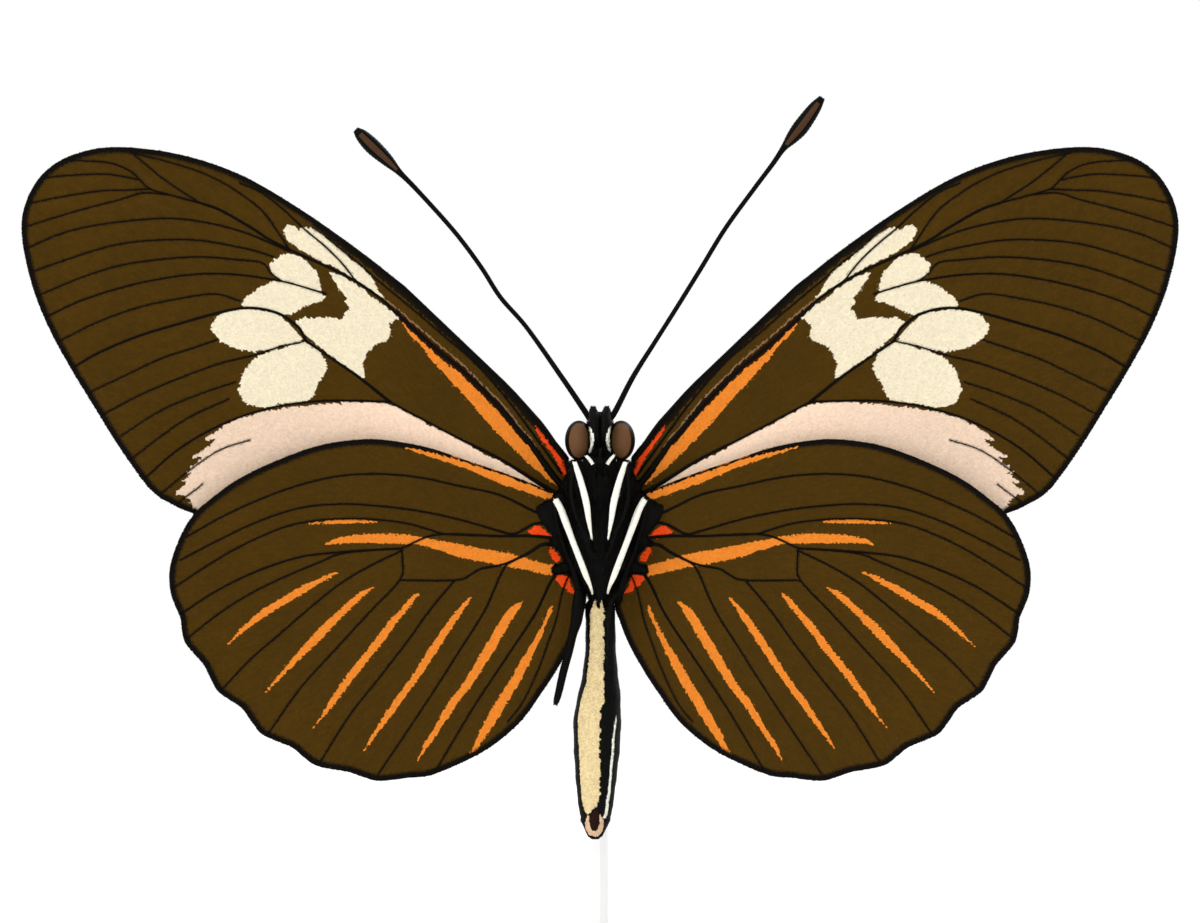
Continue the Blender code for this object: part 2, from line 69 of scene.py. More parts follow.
# Driving sizes
MM = 0.001
WINGSPAN = 72 * MM
ROD_RADIUS = 0.5 * MM
SIDES = (("right", -1), ("left", 1))  # of the butterfly: its right is at the viewer's left
FACES = (("under", -1), ("upper", 1))  # of a wing
SCALE_LENGTH = {-1: 0.2 * MM, 1: 0.32 * MM}  # on a wing's under face and on its upper one
SCALE_SPACING = {-1: 0.086 * MM, 1: 0.128 * MM}  # from one scale to the next in its row
SCALE_LIFT = 0.045 * MM  # of a scale's tip over its root
SCALE_WIDTH = 0.55  # of its length
ROW_STEP, ROOT_STRAY = 1.3, 0.14  # between rows of scales, and of a scale's root, in spacings
MARGIN_BAND = 0.38 * MM  # the black edge of a wing
COSTAL_INK = 0.15 * MM  # the black line over the hindwing's first ray
MEMBRANE = 0.1 * MM  # thickness of a wing under its scales
MEMBRANE_CELL = 0.4 * MM
PLEAT = 0.07 * MM  # how far a wing bulges back between its veins
PLEAT_REACH = 0.8 * MM  # from a vein to where the bulge is nearly full
ROOT_REACH = 0.75 * MM  # from a solid wing's root into the thorax
ROOT_MARGIN = 0.55 * MM  # how far beyond the thorax's side an outline counts as the wing's root
MARGIN_GAP = 0.06 * MM  # from a wing's margin to the nearest scales' roots
VEIN_SHADE = 0.13 * MM  # how far from a vein the scales are darker
VEIN_HALF_WIDTH = 0.064 * MM  # of a vein of thickness 1
VEIN_RISE = 0.03 * MM  # of a vein of thickness 1 over the scales
FRINGE_WIDTH, FRINGE_LENGTH, FRINGE_DEPTH = 0.1 * MM, 0.24 * MM, 0.21 * MM
FUR_DEPTH = {"thorax": 0.34 * MM, "head": 0.2 * MM, "abdomen": 0.04 * MM}

# Places read from the picture are (column, row) pairs of its 1200 x 923 pixels, on the viewer's left
PICTURE = (1200, 923)
SPAN_PIXELS = 1156
MIDLINE = 600
TAIL_ROW = 839
TAIL_HEIGHT = 9 * MM
PIXEL = WINGSPAN / SPAN_PIXELS

FOREWING_HINGE = (592, 500)
FOREWING_VEINS = (
    (1.2, (572, 470), (540, 422), (502, 380), (462, 340), (420, 300), (380, 268), (340, 238), (310, 217)),
    (2.1, (574, 500), (560, 484), (550, 471), (540, 457.5), (530, 443), (520, 431.5), (500, 408),
     (480, 387.5), (460, 368.5), (440, 352.5), (420, 335), (400, 316.5), (390, 307), (380, 298), (370, 291),
     (360, 284), (345, 275.5), (330, 268), (310, 259), (292, 251), (270, 240), (250, 227), (220, 210),
     (200, 203)),
    (0.8, (200, 203), (170, 195), (150, 189), (140, 180), (130, 171), (110, 163), (80, 160.5), (65, 160)),
    (0.7, (140, 180), (120, 176), (100, 174), (60, 176), (46, 178)),
    (0.7, (150, 189), (130, 190), (100, 191), (60, 197), (31, 203)),
    (0.7, (170, 195), (143, 193), (120, 199.5), (80, 210), (40, 222), (25, 227)),
    (0.7, (200, 203), (165, 180), (132, 153)),
    (0.8, (562, 474), (536, 438), (506, 398), (474, 362), (445, 337), (416, 312), (392, 292), (375, 278),
     (360, 264.5), (340, 249), (325, 236), (312, 227.5)),
    (1.0, (355, 281), (350, 273), (340, 261), (330, 251), (320, 242), (303, 228), (285, 211), (262, 193),
     (240, 183)),
    (0.7, (290, 250), (265, 214), (245, 197), (225, 184), (200, 172), (165, 161), (130, 153)),
    (0.8, (290, 252), (275, 245), (240, 231), (200, 221.5), (160, 218.5), (100, 224.5), (60, 234),
     (25, 249)),
    (0.8, (274, 257), (262, 253), (245, 248.5), (200, 240.5), (160, 240), (120, 244), (80, 255), (31, 272)),
    (0.8, (282, 281), (272, 274), (262, 263), (240, 260), (200, 257), (160, 259.5), (120, 265.5),
     (80, 278), (37, 296)),
    (1.0, (326, 294), (300, 286), (280, 281), (240, 275), (200, 274), (160, 279),
     (120, 288), (80, 301), (46, 317)),
    (1.7, (306, 341), (300, 329), (293, 323), (282, 315), (262, 309), (240, 308.5),
     (210, 315), (180, 323.5), (140, 335.5), (100, 352), (74, 367)),
    (0.7, (240, 301), (215, 294), (180, 298.5), (140, 307), (100, 321), (61, 340)),
    (0.7, (217, 340), (190, 349), (160, 359), (120, 378), (88, 393)),
    (0.8, (306, 341), (280, 347), (255, 355), (220, 363.5), (180, 378), (140, 395), (104, 414)),
    (0.6, (236, 382), (200, 394), (160, 411), (121, 436)),
    (0.6, (229, 399), (190, 417), (160, 437), (129, 461)),
    (1.6, (574, 503), (550, 490), (500, 459), (460, 439), (420, 418), (390, 402)),
    (1.9, (390, 402), (360, 378), (340, 364), (306, 341)),
    (1.3, (390, 402), (360, 401), (320, 401), (280, 406), (240, 417), (205, 433), (175, 452), (144, 479)),
    (0.6, (250, 440), (220, 450), (190, 470), (162, 493)),
    (0.6, (203, 484), (178, 503)),
)
HINDWING_HINGE = (590, 535)
HINDWING_VEINS = (
    (1.0, (572, 525), (538, 513), (500, 495), (460, 486), (420, 477.5), (380, 474), (340, 476),
     (300, 485), (260, 499.5), (220, 518), (187, 537)),
    (1.0, (572, 535), (540, 523), (515, 533.5), (500, 531), (460, 519.5), (420, 511), (380, 506),
     (340, 504), (300, 508), (260, 521), (220, 539.5), (181, 560)),
    (0.9, (500, 536), (447, 534), (430, 529.5), (400, 522), (350, 518.5), (300, 523), (260, 537),
     (220, 558), (172, 589)),
    (1.2, (572, 541), (535, 536), (500, 536), (450, 534), (430, 536), (415, 542), (402, 548), (385, 549),
     (340, 552), (300, 557), (260, 570), (220, 589), (181, 614)),
    (0.9, (402, 548), (345, 553), (320, 562), (280, 579), (250, 594), (220, 613), (188, 638)),
    (0.9, (403, 550), (370, 566), (340, 584), (310, 608), (280, 634), (250, 660), (222, 690)),
    (0.9, (402, 548), (403, 562), (400, 580), (370, 612), (335, 650), (300, 689), (269, 733)),
    (1.2, (572, 548), (545, 544), (530, 552), (512, 561), (500, 565), (480, 569), (470, 575), (455, 580),
     (400, 580)),
    (0.9, (455, 580), (430, 610), (410, 638), (380, 677), (350, 715), (321, 761)),
    (0.9, (512, 561), (503, 570), (485, 610), (460, 650), (430, 697), (400, 742), (379, 773)),
    (0.9, (572, 560), (553, 578), (535, 614), (510, 652), (480, 697), (462, 726), (436, 770)),
    (0.35, (573, 566), (563, 590), (556, 620), (549, 640), (538, 670), (522, 703), (508, 721)),
)

# Patches of colour on the wings, by their corners
CREAM_PATCHES = (
    ((284, 230.5), (287.5, 225), (293.5, 227), (300, 228.5), (310, 228), (315, 229.5), (324.5, 236.5),
     (340, 249.5), (350, 258.5), (360, 265.5), (367.5, 272.5), (373, 279.5), (377, 286), (381, 293),
     (383, 298), (370, 289), (353, 278.5), (340, 270.5), (320, 261), (302, 251), (295, 247), (290, 242),
     (285.5, 236)),
    ((269, 264), (280, 256), (288.5, 254), (294, 255), (302, 258), (307, 262), (312, 267.5), (317, 273.5),
     (319, 280), (321.5, 289), (320, 291), (300, 286), (283, 281), (277, 277.5), (272, 272.5)),
    ((242, 301), (255, 291), (268, 284), (280, 281), (300, 287), (322, 293), (324, 300), (310, 305),
     (295, 312), (287, 314), (262, 309), (245, 308)),
    ((211, 326), (218, 316), (233, 310), (255, 310), (275, 314), (288, 323), (302, 341), (285, 345),
     (260, 351), (240, 350), (222, 342), (213, 333)),
    ((303, 341), (285, 347), (268, 352), (253, 361), (243, 374), (239, 390), (245, 402), (262, 407),
     (285, 404), (310, 399), (320, 382), (327, 368), (320, 352)),
    ((295.5, 322.5), (304, 317.5), (312, 318), (328, 317), (339, 320), (343, 318), (345, 312.5),
     (350.5, 308.5), (345.5, 302), (346.5, 299), (342, 294), (340, 289), (335, 282), (329.5, 272.5),
     (340, 275.5), (350, 280.5), (360, 287), (370, 295), (380, 302), (396.5, 315.5), (399, 318),
     (391.5, 323), (389, 328), (390, 335), (387, 340), (372, 348), (364, 362), (363, 378), (340, 362),
     (320, 347), (300, 329)),
)
PINK_PATCH = (
    (545, 487), (520, 472), (480, 451), (440, 430), (410, 414), (390, 405), (370, 402), (340, 403),
    (300, 406), (260, 413), (234, 421), (205, 440), (216, 440), (194, 457), (205, 456), (186, 472),
    (193, 473), (181, 482), (186, 483), (177, 493), (186, 497), (196, 511), (200, 525), (400, 500),
     (545, 500),
)
PINK_PAINTED_LIGHT = (270, 250, 0.35)  # painted light against the hindwing's shade: column where the pink starts to get lighter, over what width, and how much
CELL_RAY = (
    (401.5, 321.5), (410, 330), (432, 350.5), (450, 366), (460, 373.5), (480, 393), (500, 414),
    (520, 437.5), (530, 448), (540, 462), (547.5, 474.5), (558, 485.5), (547.5, 479), (530, 464.5),
    (510, 445), (490, 425), (470, 401), (450, 380), (432, 360), (420, 344.5), (411, 335.5),
)
COSTAL_RAY = (
    (402, 447), (420, 450), (440, 455), (460, 460), (480, 466), (500, 472), (520, 479), (540, 486),
    (550, 491), (553, 496), (551.5, 499.5), (540, 497), (520, 490), (500, 483.5), (480, 475), (460, 466.5),
    (440, 460), (420, 453.5),
)
BAND_RAYS = (
    ((325, 545), (336, 539), (360, 534.5), (400, 534), (432, 539), (460, 544), (484, 549), (512, 554),
     (540, 562), (554, 566), (552, 575), (540, 573), (518, 568), (500, 565), (484, 562), (460, 557),
     (440, 550), (420, 544.5), (400, 543.5), (348, 543)),
    ((307, 523.7), (325, 521.2), (345, 519.7), (362, 519.8), (379, 521.8), (362, 522.9), (340, 523.6)),
)
RED_SPOTS = (
    ((534, 424), (542, 433), (550, 444), (558, 454), (566, 463), (568, 468), (565, 476), (555.5, 459.5),
     (549, 450), (542, 440), (536, 430)),
)
RED_HIND_SPOTS = (
    ((528, 532), (538, 525.5), (552, 537), (540, 538)),
    ((548, 551), (551.5, 547.5), (560, 556.5), (560, 561), (555, 561)),
    ((555, 579), (558, 575.5), (568, 576), (572, 586), (576, 592.5), (569, 591), (560, 584)),
)
# The hindwing's rays, from their ends near the margin up one side and down the other
HIND_RAYS = (
    ((224, 648), (240, 630), (262, 610), (280, 599), (301, 586.5), (322, 577), (340, 571), (330, 577.5),
     (320, 583.5), (301, 595), (280, 607.5), (260, 620), (240, 635)),
    ((263, 696), (276, 679), (288, 664.5), (301, 648.5), (320, 627.5), (340, 609.5), (359.5, 592.5),
     (370, 588), (376, 585.5), (368.5, 592.5), (350, 609.5), (340, 619.5), (320, 640.5), (301, 658.5),
     (280, 679), (270, 689)),
    ((310, 732), (320, 718.5), (330, 700.5), (350, 671.5), (370, 646.5), (390, 620), (400, 610),
     (410, 598.5), (419.5, 593), (410, 607), (400, 619), (380.5, 645.5), (360, 671), (340, 697),
     (330, 709.5)),
    ((364, 751), (370, 739), (376, 729), (393.5, 701.5), (410, 679), (426, 654), (436, 638.5), (450, 618.5),
     (465, 602), (471.5, 597), (465, 608), (450, 631.5), (431, 660.5), (417, 681), (400, 704), (380, 731),
     (370, 743.5)),
    ((418, 760), (424, 744), (433.5, 729.5), (450, 700), (460, 688), (480, 655), (498, 625), (505, 614),
     (513, 605.5), (523, 601), (516.5, 612), (506, 630), (490, 657), (470, 688), (460, 700), (440, 729.5),
     (424, 752.5)),
    ((468.5, 754), (474, 744), (479, 732.5), (490, 712), (502.5, 691), (510, 680), (520.5, 660.5),
     (527, 651), (540, 629), (550, 607.5), (552.5, 605), (552, 611), (545.5, 626), (537.5, 646),
     (522, 678), (508, 701), (500, 715.5), (485, 737), (477, 749)),
)
# The hindwing's inner margin beside the abdomen
INNER_SIDE = 540  # the inner margin lies beyond this column
INNER_MARGIN = ((597, 585), (610, 584.5), (620, 580.5), (630, 577), (640, 573), (650, 568), (660, 563))
# The black hair of the body and the wings' roots, from the neck to the abdomen
BODY_ZONE = (
    (571, 457), (567, 472), (560, 487), (553, 496), (546, 501), (537, 507), (541, 520), (548, 529),
    (553, 537), (547, 542), (548, 546), (555, 547), (562.5, 556), (562, 562), (553, 566), (553, 574),
    (560, 574), (569.5, 574.5), (573.5, 583), (577.5, 591), (580, 603), (600, 606), (600, 457),
)
# The black stretch along the forewing's front margin
COSTAL_SHADE = (
    (300, 209), (320, 222), (340, 236), (380, 268), (419, 300), (462, 340), (502, 380), (539, 420),
    (569, 460), (560, 462), (538, 434), (512, 402), (478, 366), (440, 330), (400, 295), (362, 263),
     (318, 229),
)
# The dark band along the forewing's main vein, and the pale line beside it, a painted highlight
STEM_SHADE = ((398, 314), (420, 335), (440, 352.5), (460, 368.5), (480, 387.5), (500, 408), (520, 431.5),
              (540, 457.5), (552, 475))
STEM_GLEAM = ((383, 298), (400, 311), (420, 328.5), (440, 345.5), (460, 362.5), (480, 382), (498, 400),
              (510, 414), (520, 427), (530, 438.5), (536, 448))
# The upper side's own marks
UPPER_BASE_PATCH = (
    (470, 352), (440, 362), (430, 385), (445, 420), (420, 440), (400, 470), (440, 500), (560, 500),
     (575, 470),
)
UPPER_BAR = (
    (330, 548), (360, 536), (400, 529), (450, 532), (500, 541), (575, 552), (575, 580), (500, 566),
    (450, 560), (400, 549), (360, 548),
)

RAY_RAGGED = 0.1  # how far the patches' edges stray, in pixels
SPOT_RAGGED = 0.6
CREAM_RAGGED = 0.9
LINE_STEP = 0.8  # between the points that a drawn line is followed by, in pixels

# The body's marks
ABDOMEN_BAND = (
    (590.5, 610), (590, 640), (589.5, 652), (588.5, 662), (586.5, 680), (584, 690), (581, 700), (579, 710),
    (578.2, 720), (578.7, 745), (579.6, 765), (581.2, 790), (582.5, 800), (584, 807), (586.5, 812),
    (590, 811), (596, 805), (599, 802), (601, 790), (600.5, 760), (600.5, 740), (601, 720), (602, 710),
    (604.5, 700), (605, 680), (605.5, 660), (605, 640), (605, 612), (603, 606), (601.5, 600),
    (599.5, 607), (597.5, 607), (595, 599), (593, 606),
)
# The bristly edge of the black half: the band's side on the viewer's right, from the waist down
ABDOMEN_EDGE = ABDOMEN_BAND[ABDOMEN_BAND.index((605, 612)):ABDOMEN_BAND.index((599, 802)) - 1:-1]
ABDOMEN_LINE = (
    (616.5, 712), (615, 724), (613.3, 738), (612, 757), (610.3, 774), (609, 790), (607.5, 800),
    (606.5, 810), (604.5, 816),
)
BAND_END = ((582, 806), (584, 810.5), (587, 813.5), (590.5, 812.5), (596, 806.5), (599, 803.5))
VENT = (594.5, 818.5, 5.2, 11.5)  # middle column and row, half width and half height
VENT_RIM = (594.5, 823, 9.3, 12.2)
EYE_LINE = ((590, 427), (591.5, 432), (592.2, 438), (592.3, 443), (591.3, 448), (589.5, 453))
SHOULDER = (576, 469, 0.45)  # the cap over a forewing's root
SHOULDER_RADII = (0.55, 0.65, 0.62)
SHOULDER_HAIRS = 500
TUFT_HAIRS = 9000  # tried over a box round the black zone of one side, which keeps about a fifth

# Eyes, feelers and limbs, in or near their solids: column, row and depth in millimetres, as are the radii.
# The feelers are the viewer's left one and right one
EYE_MIDDLE = (578.9, 440.5, -0.20)
EYE_RADII = (0.87, 1.25, 1.24)
LEFT_FEELER = (
    (590, 419), (584, 410), (563, 379), (527, 328), (501, 298), (483, 270), (465, 245), (447, 223),
    (416, 189), (400, 173), (387, 160), (373, 147), (362, 136), (356, 130),
)
RIGHT_FEELER = (
    (610, 419), (616, 410), (633, 377), (655, 342), (674, 312), (700, 270), (725, 229), (754, 189),
    (772, 165), (783, 149), (792, 138), (801, 127), (814, 109), (822, 98),
)
FEELER_DEPTH = 0.35
CLUB_WIDTHS = (1.05, 1.35, 2.7, 3.4, 2.75, 1.35)  # of the shaft's radius, over a feeler's last points
CLUB_START = 0.84  # of a feeler's length, where the club's brown starts
FEELER_RADIUS = 0.148
LIMB_SIDES = 16
PALP_PATH = (
    (596, 447, -1.6), (595.5, 436, -2.2), (595, 425, -2.1), (594.6, 418, -1.8), (593.4, 411.5, -1.4),
    (593.2, 408.3, -1.2),
)
PALP_RADII = (0.12, 0.26, 0.32, 0.32, 0.23, 0.13)
TONGUE_MIDDLE = (600, 457.5, -2.46)
FORELEG = ((597, 482, -1.7), (595.5, 470, -2.25), (591.5, 462, -2.3), (586.5, 456, -2.15))
FORELEG_RADII = (0.1, 0.13, 0.12, 0.09)
MIDLEG = (
    ((594, 552, -2.5), (592.5, 543, -3.1), (591.3, 535, -3.2), (588.8, 520, -3.15), (586.2, 502, -3.05),
     (580.5, 480, -2.6), (574.5, 463, -2.1)),
    ((574, 463, -2.1), (571.5, 492, -2.75), (576.5, 515, -3.1), (584.5, 532, -3.2), (589.5, 548, -3.2)),
    ((589.5, 548, -3.2), (593, 556, -3.15)),
)
MIDLEG_RADII = ((0.05, 0.05, 0.06, 0.15, 0.21, 0.19, 0.17), (0.14, 0.13, 0.11, 0.1, 0.1), (0.1, 0.07))
HINDLEG = (
    ((593, 600, -1.3), (592.3, 593, -2.1), (590.5, 586, -2.5), (586, 575, -2.8), (580.3, 560, -2.95),
     (572.6, 540, -2.9), (565.2, 520, -2.5), (561, 509, -2.2), (556, 500, -1.95)),
    ((556, 499, -1.95), (557, 520, -1.45), (565, 548, -1.3), (574, 570, -1.25), (579, 590, -1.3)),
)
HINDLEG_RADII = ((0.05, 0.06, 0.1, 0.18, 0.19, 0.19, 0.22, 0.21, 0.2), (0.15, 0.15, 0.15, 0.18, 0.26))
FREE_FOOT = (
    (579, 590, -1.3), (578, 606, -1.3), (576.5, 620, -1.3), (573, 633, -1.3), (569.3, 650, -1.3),
    (563.8, 670, -1.3), (559.2, 690, -1.35), (556.6, 700, -1.35), (555.8, 703.5, -1.35),
)
FREE_FOOT_RADII = (0.28, 0.38, 0.36, 0.28, 0.25, 0.25, 0.23, 0.19, 0.1)
FOLDED_FOOT = ((579, 590, -1.3), (588, 600, -1.8), (590, 620, -2.0), (591, 645, -2.05), (592, 668, -2.0))
FOLDED_FOOT_RADII = (0.24, 0.18, 0.14, 0.12, 0.08)


def rgb(code):
    """Linear colour of a six-figure web colour."""
    found = np.array([int(code[i:i + 2], 16) / 255 for i in (0, 2, 4)])
    return np.where(found <= 0.04045, found / 12.92, ((found + 0.055) / 1.055) ** 2.4)


BROWN = rgb("463004")
BLACK = rgb("0a0703")
VEIN_DARK = rgb("080501")
CREAM = rgb("e9dec2")
PINK = rgb("e6ccb4")
ORANGE = rgb("e4842a")
RED = rgb("f24a16")
UPPER_BROWN = rgb("1c1612")
UPPER_RED = rgb("d9481c")
BODY_BLACK = rgb("040403")
BODY_WHITE = rgb("f0efe2")
BELLY = rgb("dec998")
EYE_BROWN = rgb("62442c")
STEM_DARK = rgb("260c02")
GLEAM = rgb("8a6a48")
# Dark rim at the edge of each eye's front half: partly the ring of hair round the eye, partly painted shade
# at its edge
EYE_RIM_AND_SHADE = rgb("070403")
VENT_PALE = rgb("d9b795")
VENT_DARK = rgb("220c05")
CLUB_BROWN = rgb("46301f")


# Places

def place(column, row, depth, side=-1):
    """A point from a column and row of the viewer's left and its depth in millimetres. Side 1 mirrors it."""
    return np.array((side * (MIDLINE - column) * PIXEL, depth * MM, TAIL_HEIGHT + (TAIL_ROW - row) * PIXEL))


def flat(points):
    """Pixels as (distance from the midline, height)."""
    points = np.asarray(points, float)
    return np.stack([(MIDLINE - points[:, 0]) * PIXEL, TAIL_HEIGHT + (TAIL_ROW - points[:, 1]) * PIXEL], 1)


def pixels(points):
    """(Distance from the midline, height) as pixels."""
    return np.stack([MIDLINE - points[:, 0] / PIXEL, TAIL_ROW - (points[:, 1] - TAIL_HEIGHT) / PIXEL], 1)


def unit(vectors):
    return vectors / np.maximum(np.linalg.norm(vectors, axis=-1, keepdims=True), 1e-12)


def smooth_path(points, spacing):
    """Points along a Catmull-Rom curve through the given ones, at most a spacing apart."""
    p = np.asarray(points, float)
    ends = np.vstack([2 * p[0] - p[1], p, 2 * p[-1] - p[-2]])
    path = []
    for i in range(len(p) - 1):
        a, b, c, d = ends[i:i + 4]
        steps = max(1, math.ceil(np.linalg.norm(c - b) / spacing))
        t = (np.arange(steps) / steps)[:, None]
        square, cube = 2 * a - 5 * b + 4 * c - d, 3 * b - a - 3 * c + d
        path.append(0.5 * (2 * b + (c - a) * t + square * t**2 + cube * t**3))
    return np.vstack([*path, p[-1:]])


def is_inside(points, outline):
    inside = np.zeros(len(points), bool)
    for (ax, ay), (bx, by) in zip(outline, np.roll(outline, -1, axis=0)):
        crossed = (ay > points[:, 1]) != (by > points[:, 1])
        if crossed.any():
            at = ax + (points[crossed, 1] - ay) * (bx - ax) / (by - ay)
            inside[crossed] ^= at > points[crossed, 0]
    return inside


class Line:
    """Points close together along a path, which finds the one nearest to any point."""

    def __init__(self, points, spacing, closed=False):
        points = np.asarray(points, float)
        if closed:
            points = np.vstack([points, points[:1]])
        self.points = smooth_path(points, spacing)
        self.share = np.linspace(0, 1, len(self.points))
        self.tree = tree_of(self.points)

    def nearest(self, points):
        """Distance from each point, and how far along the path it is nearest, from 0 to 1."""
        distance, index = nearest(self.tree, points)
        return distance, self.share[index]


def tree_of(points):
    tree = KDTree(len(points))
    for index, (x, y) in enumerate(points):
        tree.insert((x, y, 0), index)
    tree.balance()
    return tree


def nearest(tree, points):
    found = [tree.find((x, y, 0)) for x, y in points]
    return np.array([f[2] for f in found]), np.array([f[1] for f in found])


def wobble(points, size, seed):
    """Smooth noise from -1 to 1 over the plane, with bumps of about a size."""
    lattice = np.random.default_rng(seed).uniform(-1, 1, (64, 64))
    at = points / size + 1000
    low = np.floor(at).astype(int)
    t = at - low
    t = t * t * (3 - 2 * t)
    a, b = lattice[low[:, 0] % 64, low[:, 1] % 64], lattice[(low[:, 0] + 1) % 64, low[:, 1] % 64]
    c, d = lattice[low[:, 0] % 64, (low[:, 1] + 1) % 64], lattice[(low[:, 0] + 1) % 64, (low[:, 1] + 1) % 64]
    return (a * (1 - t[:, 0]) + b * t[:, 0]) * (1 - t[:, 1]) + (c * (1 - t[:, 0]) + d * t[:, 0]) * t[:, 1]


# Meshes and materials

def placed(name, data):
    """An object of some data, in the scene."""
    made = bpy.data.objects.new(name, data)
    bpy.context.scene.collection.objects.link(made)
    return made


def add_object(name, vertices, faces, material, tints=None, smooth=True):
    """A mesh object from arrays. Faces may be of three or four corners, and tints are one for each face."""
    mesh = bpy.data.meshes.new(name)
    mesh.from_pydata([tuple(v) for v in vertices], [], [tuple(f) for f in faces])
    finish_mesh(mesh, material, tints, smooth)
    return placed(name, mesh)


def finish_mesh(mesh, material, tints, smooth=True):
    if tints is not None:
        layer = mesh.attributes.new("tint", "FLOAT_VECTOR", "FACE")
        layer.data.foreach_set("vector", np.asarray(tints, np.float32).ravel())
    mesh.polygons.foreach_set("use_smooth", np.full(len(mesh.polygons), smooth))
    mesh.materials.append(material)


def node(tree, kind, **sockets):
    made = tree.nodes.new(kind)
    for name, value in sockets.items():
        made.inputs[name].default_value = value
    return made


def principled(name, roughness, **sockets):
    """A material, its node tree and its shader. A socket's name has _ for each space."""
    made = bpy.data.materials.new(name)
    made.use_nodes = True
    shader = made.node_tree.nodes["Principled BSDF"]
    shader.inputs["Roughness"].default_value = roughness
    for socket, value in sockets.items():
        shader.inputs[socket.replace("_", " ")].default_value = value
    return made, made.node_tree, shader


def add_noise(tree, size, detail=2.0):
    """Noise in the solids' own frame, its bumps of about a size in metres."""
    where = tree.nodes.new("ShaderNodeTexCoord")
    noise = node(tree, "ShaderNodeTexNoise", Scale=1 / size, Detail=detail)
    tree.links.new(where.outputs["Object"], noise.inputs["Vector"])
    return noise


def add_bump(tree, shader, height, distance, strength=0.5):
    bump = node(tree, "ShaderNodeBump", Strength=strength, Distance=distance)
    tree.links.new(height, bump.inputs["Height"])
    tree.links.new(bump.outputs["Normal"], shader.inputs["Normal"])


def tinted(name, roughness, grain, contrast=0.25, bump=0.01 * MM, **sockets):
    """A material that takes its colour from each face's tint, a little uneven at the size of its grain."""
    made, tree, shader = principled(name, roughness, **sockets)
    tint = tree.nodes.new("ShaderNodeAttribute")
    tint.attribute_name = "tint"
    noise = add_noise(tree, grain)
    range_node = tree.nodes.new("ShaderNodeMapRange")
    range_node.inputs["To Min"].default_value = 1 - contrast
    range_node.inputs["To Max"].default_value = 1 + contrast
    scale = tree.nodes.new("ShaderNodeVectorMath")
    scale.operation = "SCALE"
    tree.links.new(noise.outputs["Fac"], range_node.inputs["Value"])
    tree.links.new(tint.outputs["Vector"], scale.inputs[0])
    tree.links.new(range_node.outputs["Result"], scale.inputs["Scale"])
    tree.links.new(scale.outputs["Vector"], shader.inputs["Base Color"])
    add_bump(tree, shader, noise.outputs["Fac"], bump)
    return made


def ride(piece, slot, *replaced):
    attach(piece, "root")
    if replaced:
        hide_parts(*replaced)
    return piece


# Coats of scales and hairs. A shape is five corners, as shares of the width, length and lift
SCALE_SHAPE = ((-0.32, 0, 0), (0.32, 0, 0), (0.5, 0.75, 0.8), (-0.5, 0.75, 0.8), (0, 1, 1))
HAIR_SHAPE = ((-0.5, 0, 0), (0.5, 0, 0), (0.34, 0.55, 0.7), (-0.34, 0.55, 0.7), (0, 1, 1))
CARD_FACES = ((0, 1, 2), (0, 2, 3), (3, 2, 4))
PATCH = 0.003  # size of a card's own patch on the coat's map


def add_coat(name, shape, roots, ways, ups, sizes, tints, places, material):
    """Cards that grow from roots along ways, lifted towards ups. Sizes are (width, length, lift) of each,
    and places are the roots' places on the map that the coat's colours are kept on."""
    shape = np.array(shape)
    count, corners = len(roots), len(shape)
    sides = unit(np.cross(ways, ups))
    across, along, lift = (sizes[:, k, None, None] * shape[None, :, k, None] for k in range(3))
    points = roots[:, None] + sides[:, None] * across + ways[:, None] * along + ups[:, None] * lift
    faces = np.array(CARD_FACES)
    corner_of = (np.arange(count)[:, None, None] * corners + faces[None]).ravel()

    mesh = bpy.data.meshes.new(name)
    mesh.vertices.add(count * corners)
    mesh.vertices.foreach_set("co", points.astype(np.float32).ravel())
    mesh.loops.add(len(corner_of))
    mesh.loops.foreach_set("vertex_index", corner_of.astype(np.int32))
    mesh.polygons.add(count * len(faces))
    mesh.polygons.foreach_set("loop_start", np.arange(count * len(faces), dtype=np.int32) * 3)
    mesh.update(calc_edges=True)
    finish_mesh(mesh, material, np.repeat(tints, len(faces), axis=0))
    spread = (shape[:, :2] - (0, 0.5)) * PATCH
    on_map = places[:, None, None] + spread[faces][None]
    layer = mesh.uv_layers.new(name="OFBake")
    layer.uv.foreach_set("vector", on_map.astype(np.float32).ravel())
    return placed(name, mesh)


def all_of(row, count):
    """One row of values, a number of times over."""
    return np.tile(row, (count, 1))


def uneven(tints, spread):
    """Tints made a little lighter or darker one by one."""
    return tints * (1 + spread * DRAW.standard_normal(len(tints)))[:, None].clip(0.2)


def laid(ways, ups):
    """Ways turned into the surface that ups stand on."""
    return unit(ways - ups * (ways * ups).sum(1, keepdims=True))


def card_sizes(count, width, length, lift, spread=0.12):
    """(Width, length, lift) of each card, varied a little."""
    vary = 1 + spread * DRAW.standard_normal((count, 3)).clip(-2, 2)
    return np.array((width, length, lift)) * vary


# Tubes

def ring_faces(rings, sides):
    """The four-cornered faces between rings of corners that follow each other."""
    k, j = np.meshgrid(np.arange(rings - 1), np.arange(sides), indexing="ij")
    n = (j + 1) % sides
    corners = (k * sides + j, k * sides + n, (k + 1) * sides + n, (k + 1) * sides + j)
    return np.stack(corners, -1).reshape(-1, 4)


def axes_along(points, up):
    """The ways along, across and up from a path, at each of its points."""
    run = unit(np.gradient(points, axis=0))
    across = unit(np.cross(run, up))
    return run, across, unit(np.cross(across, run))


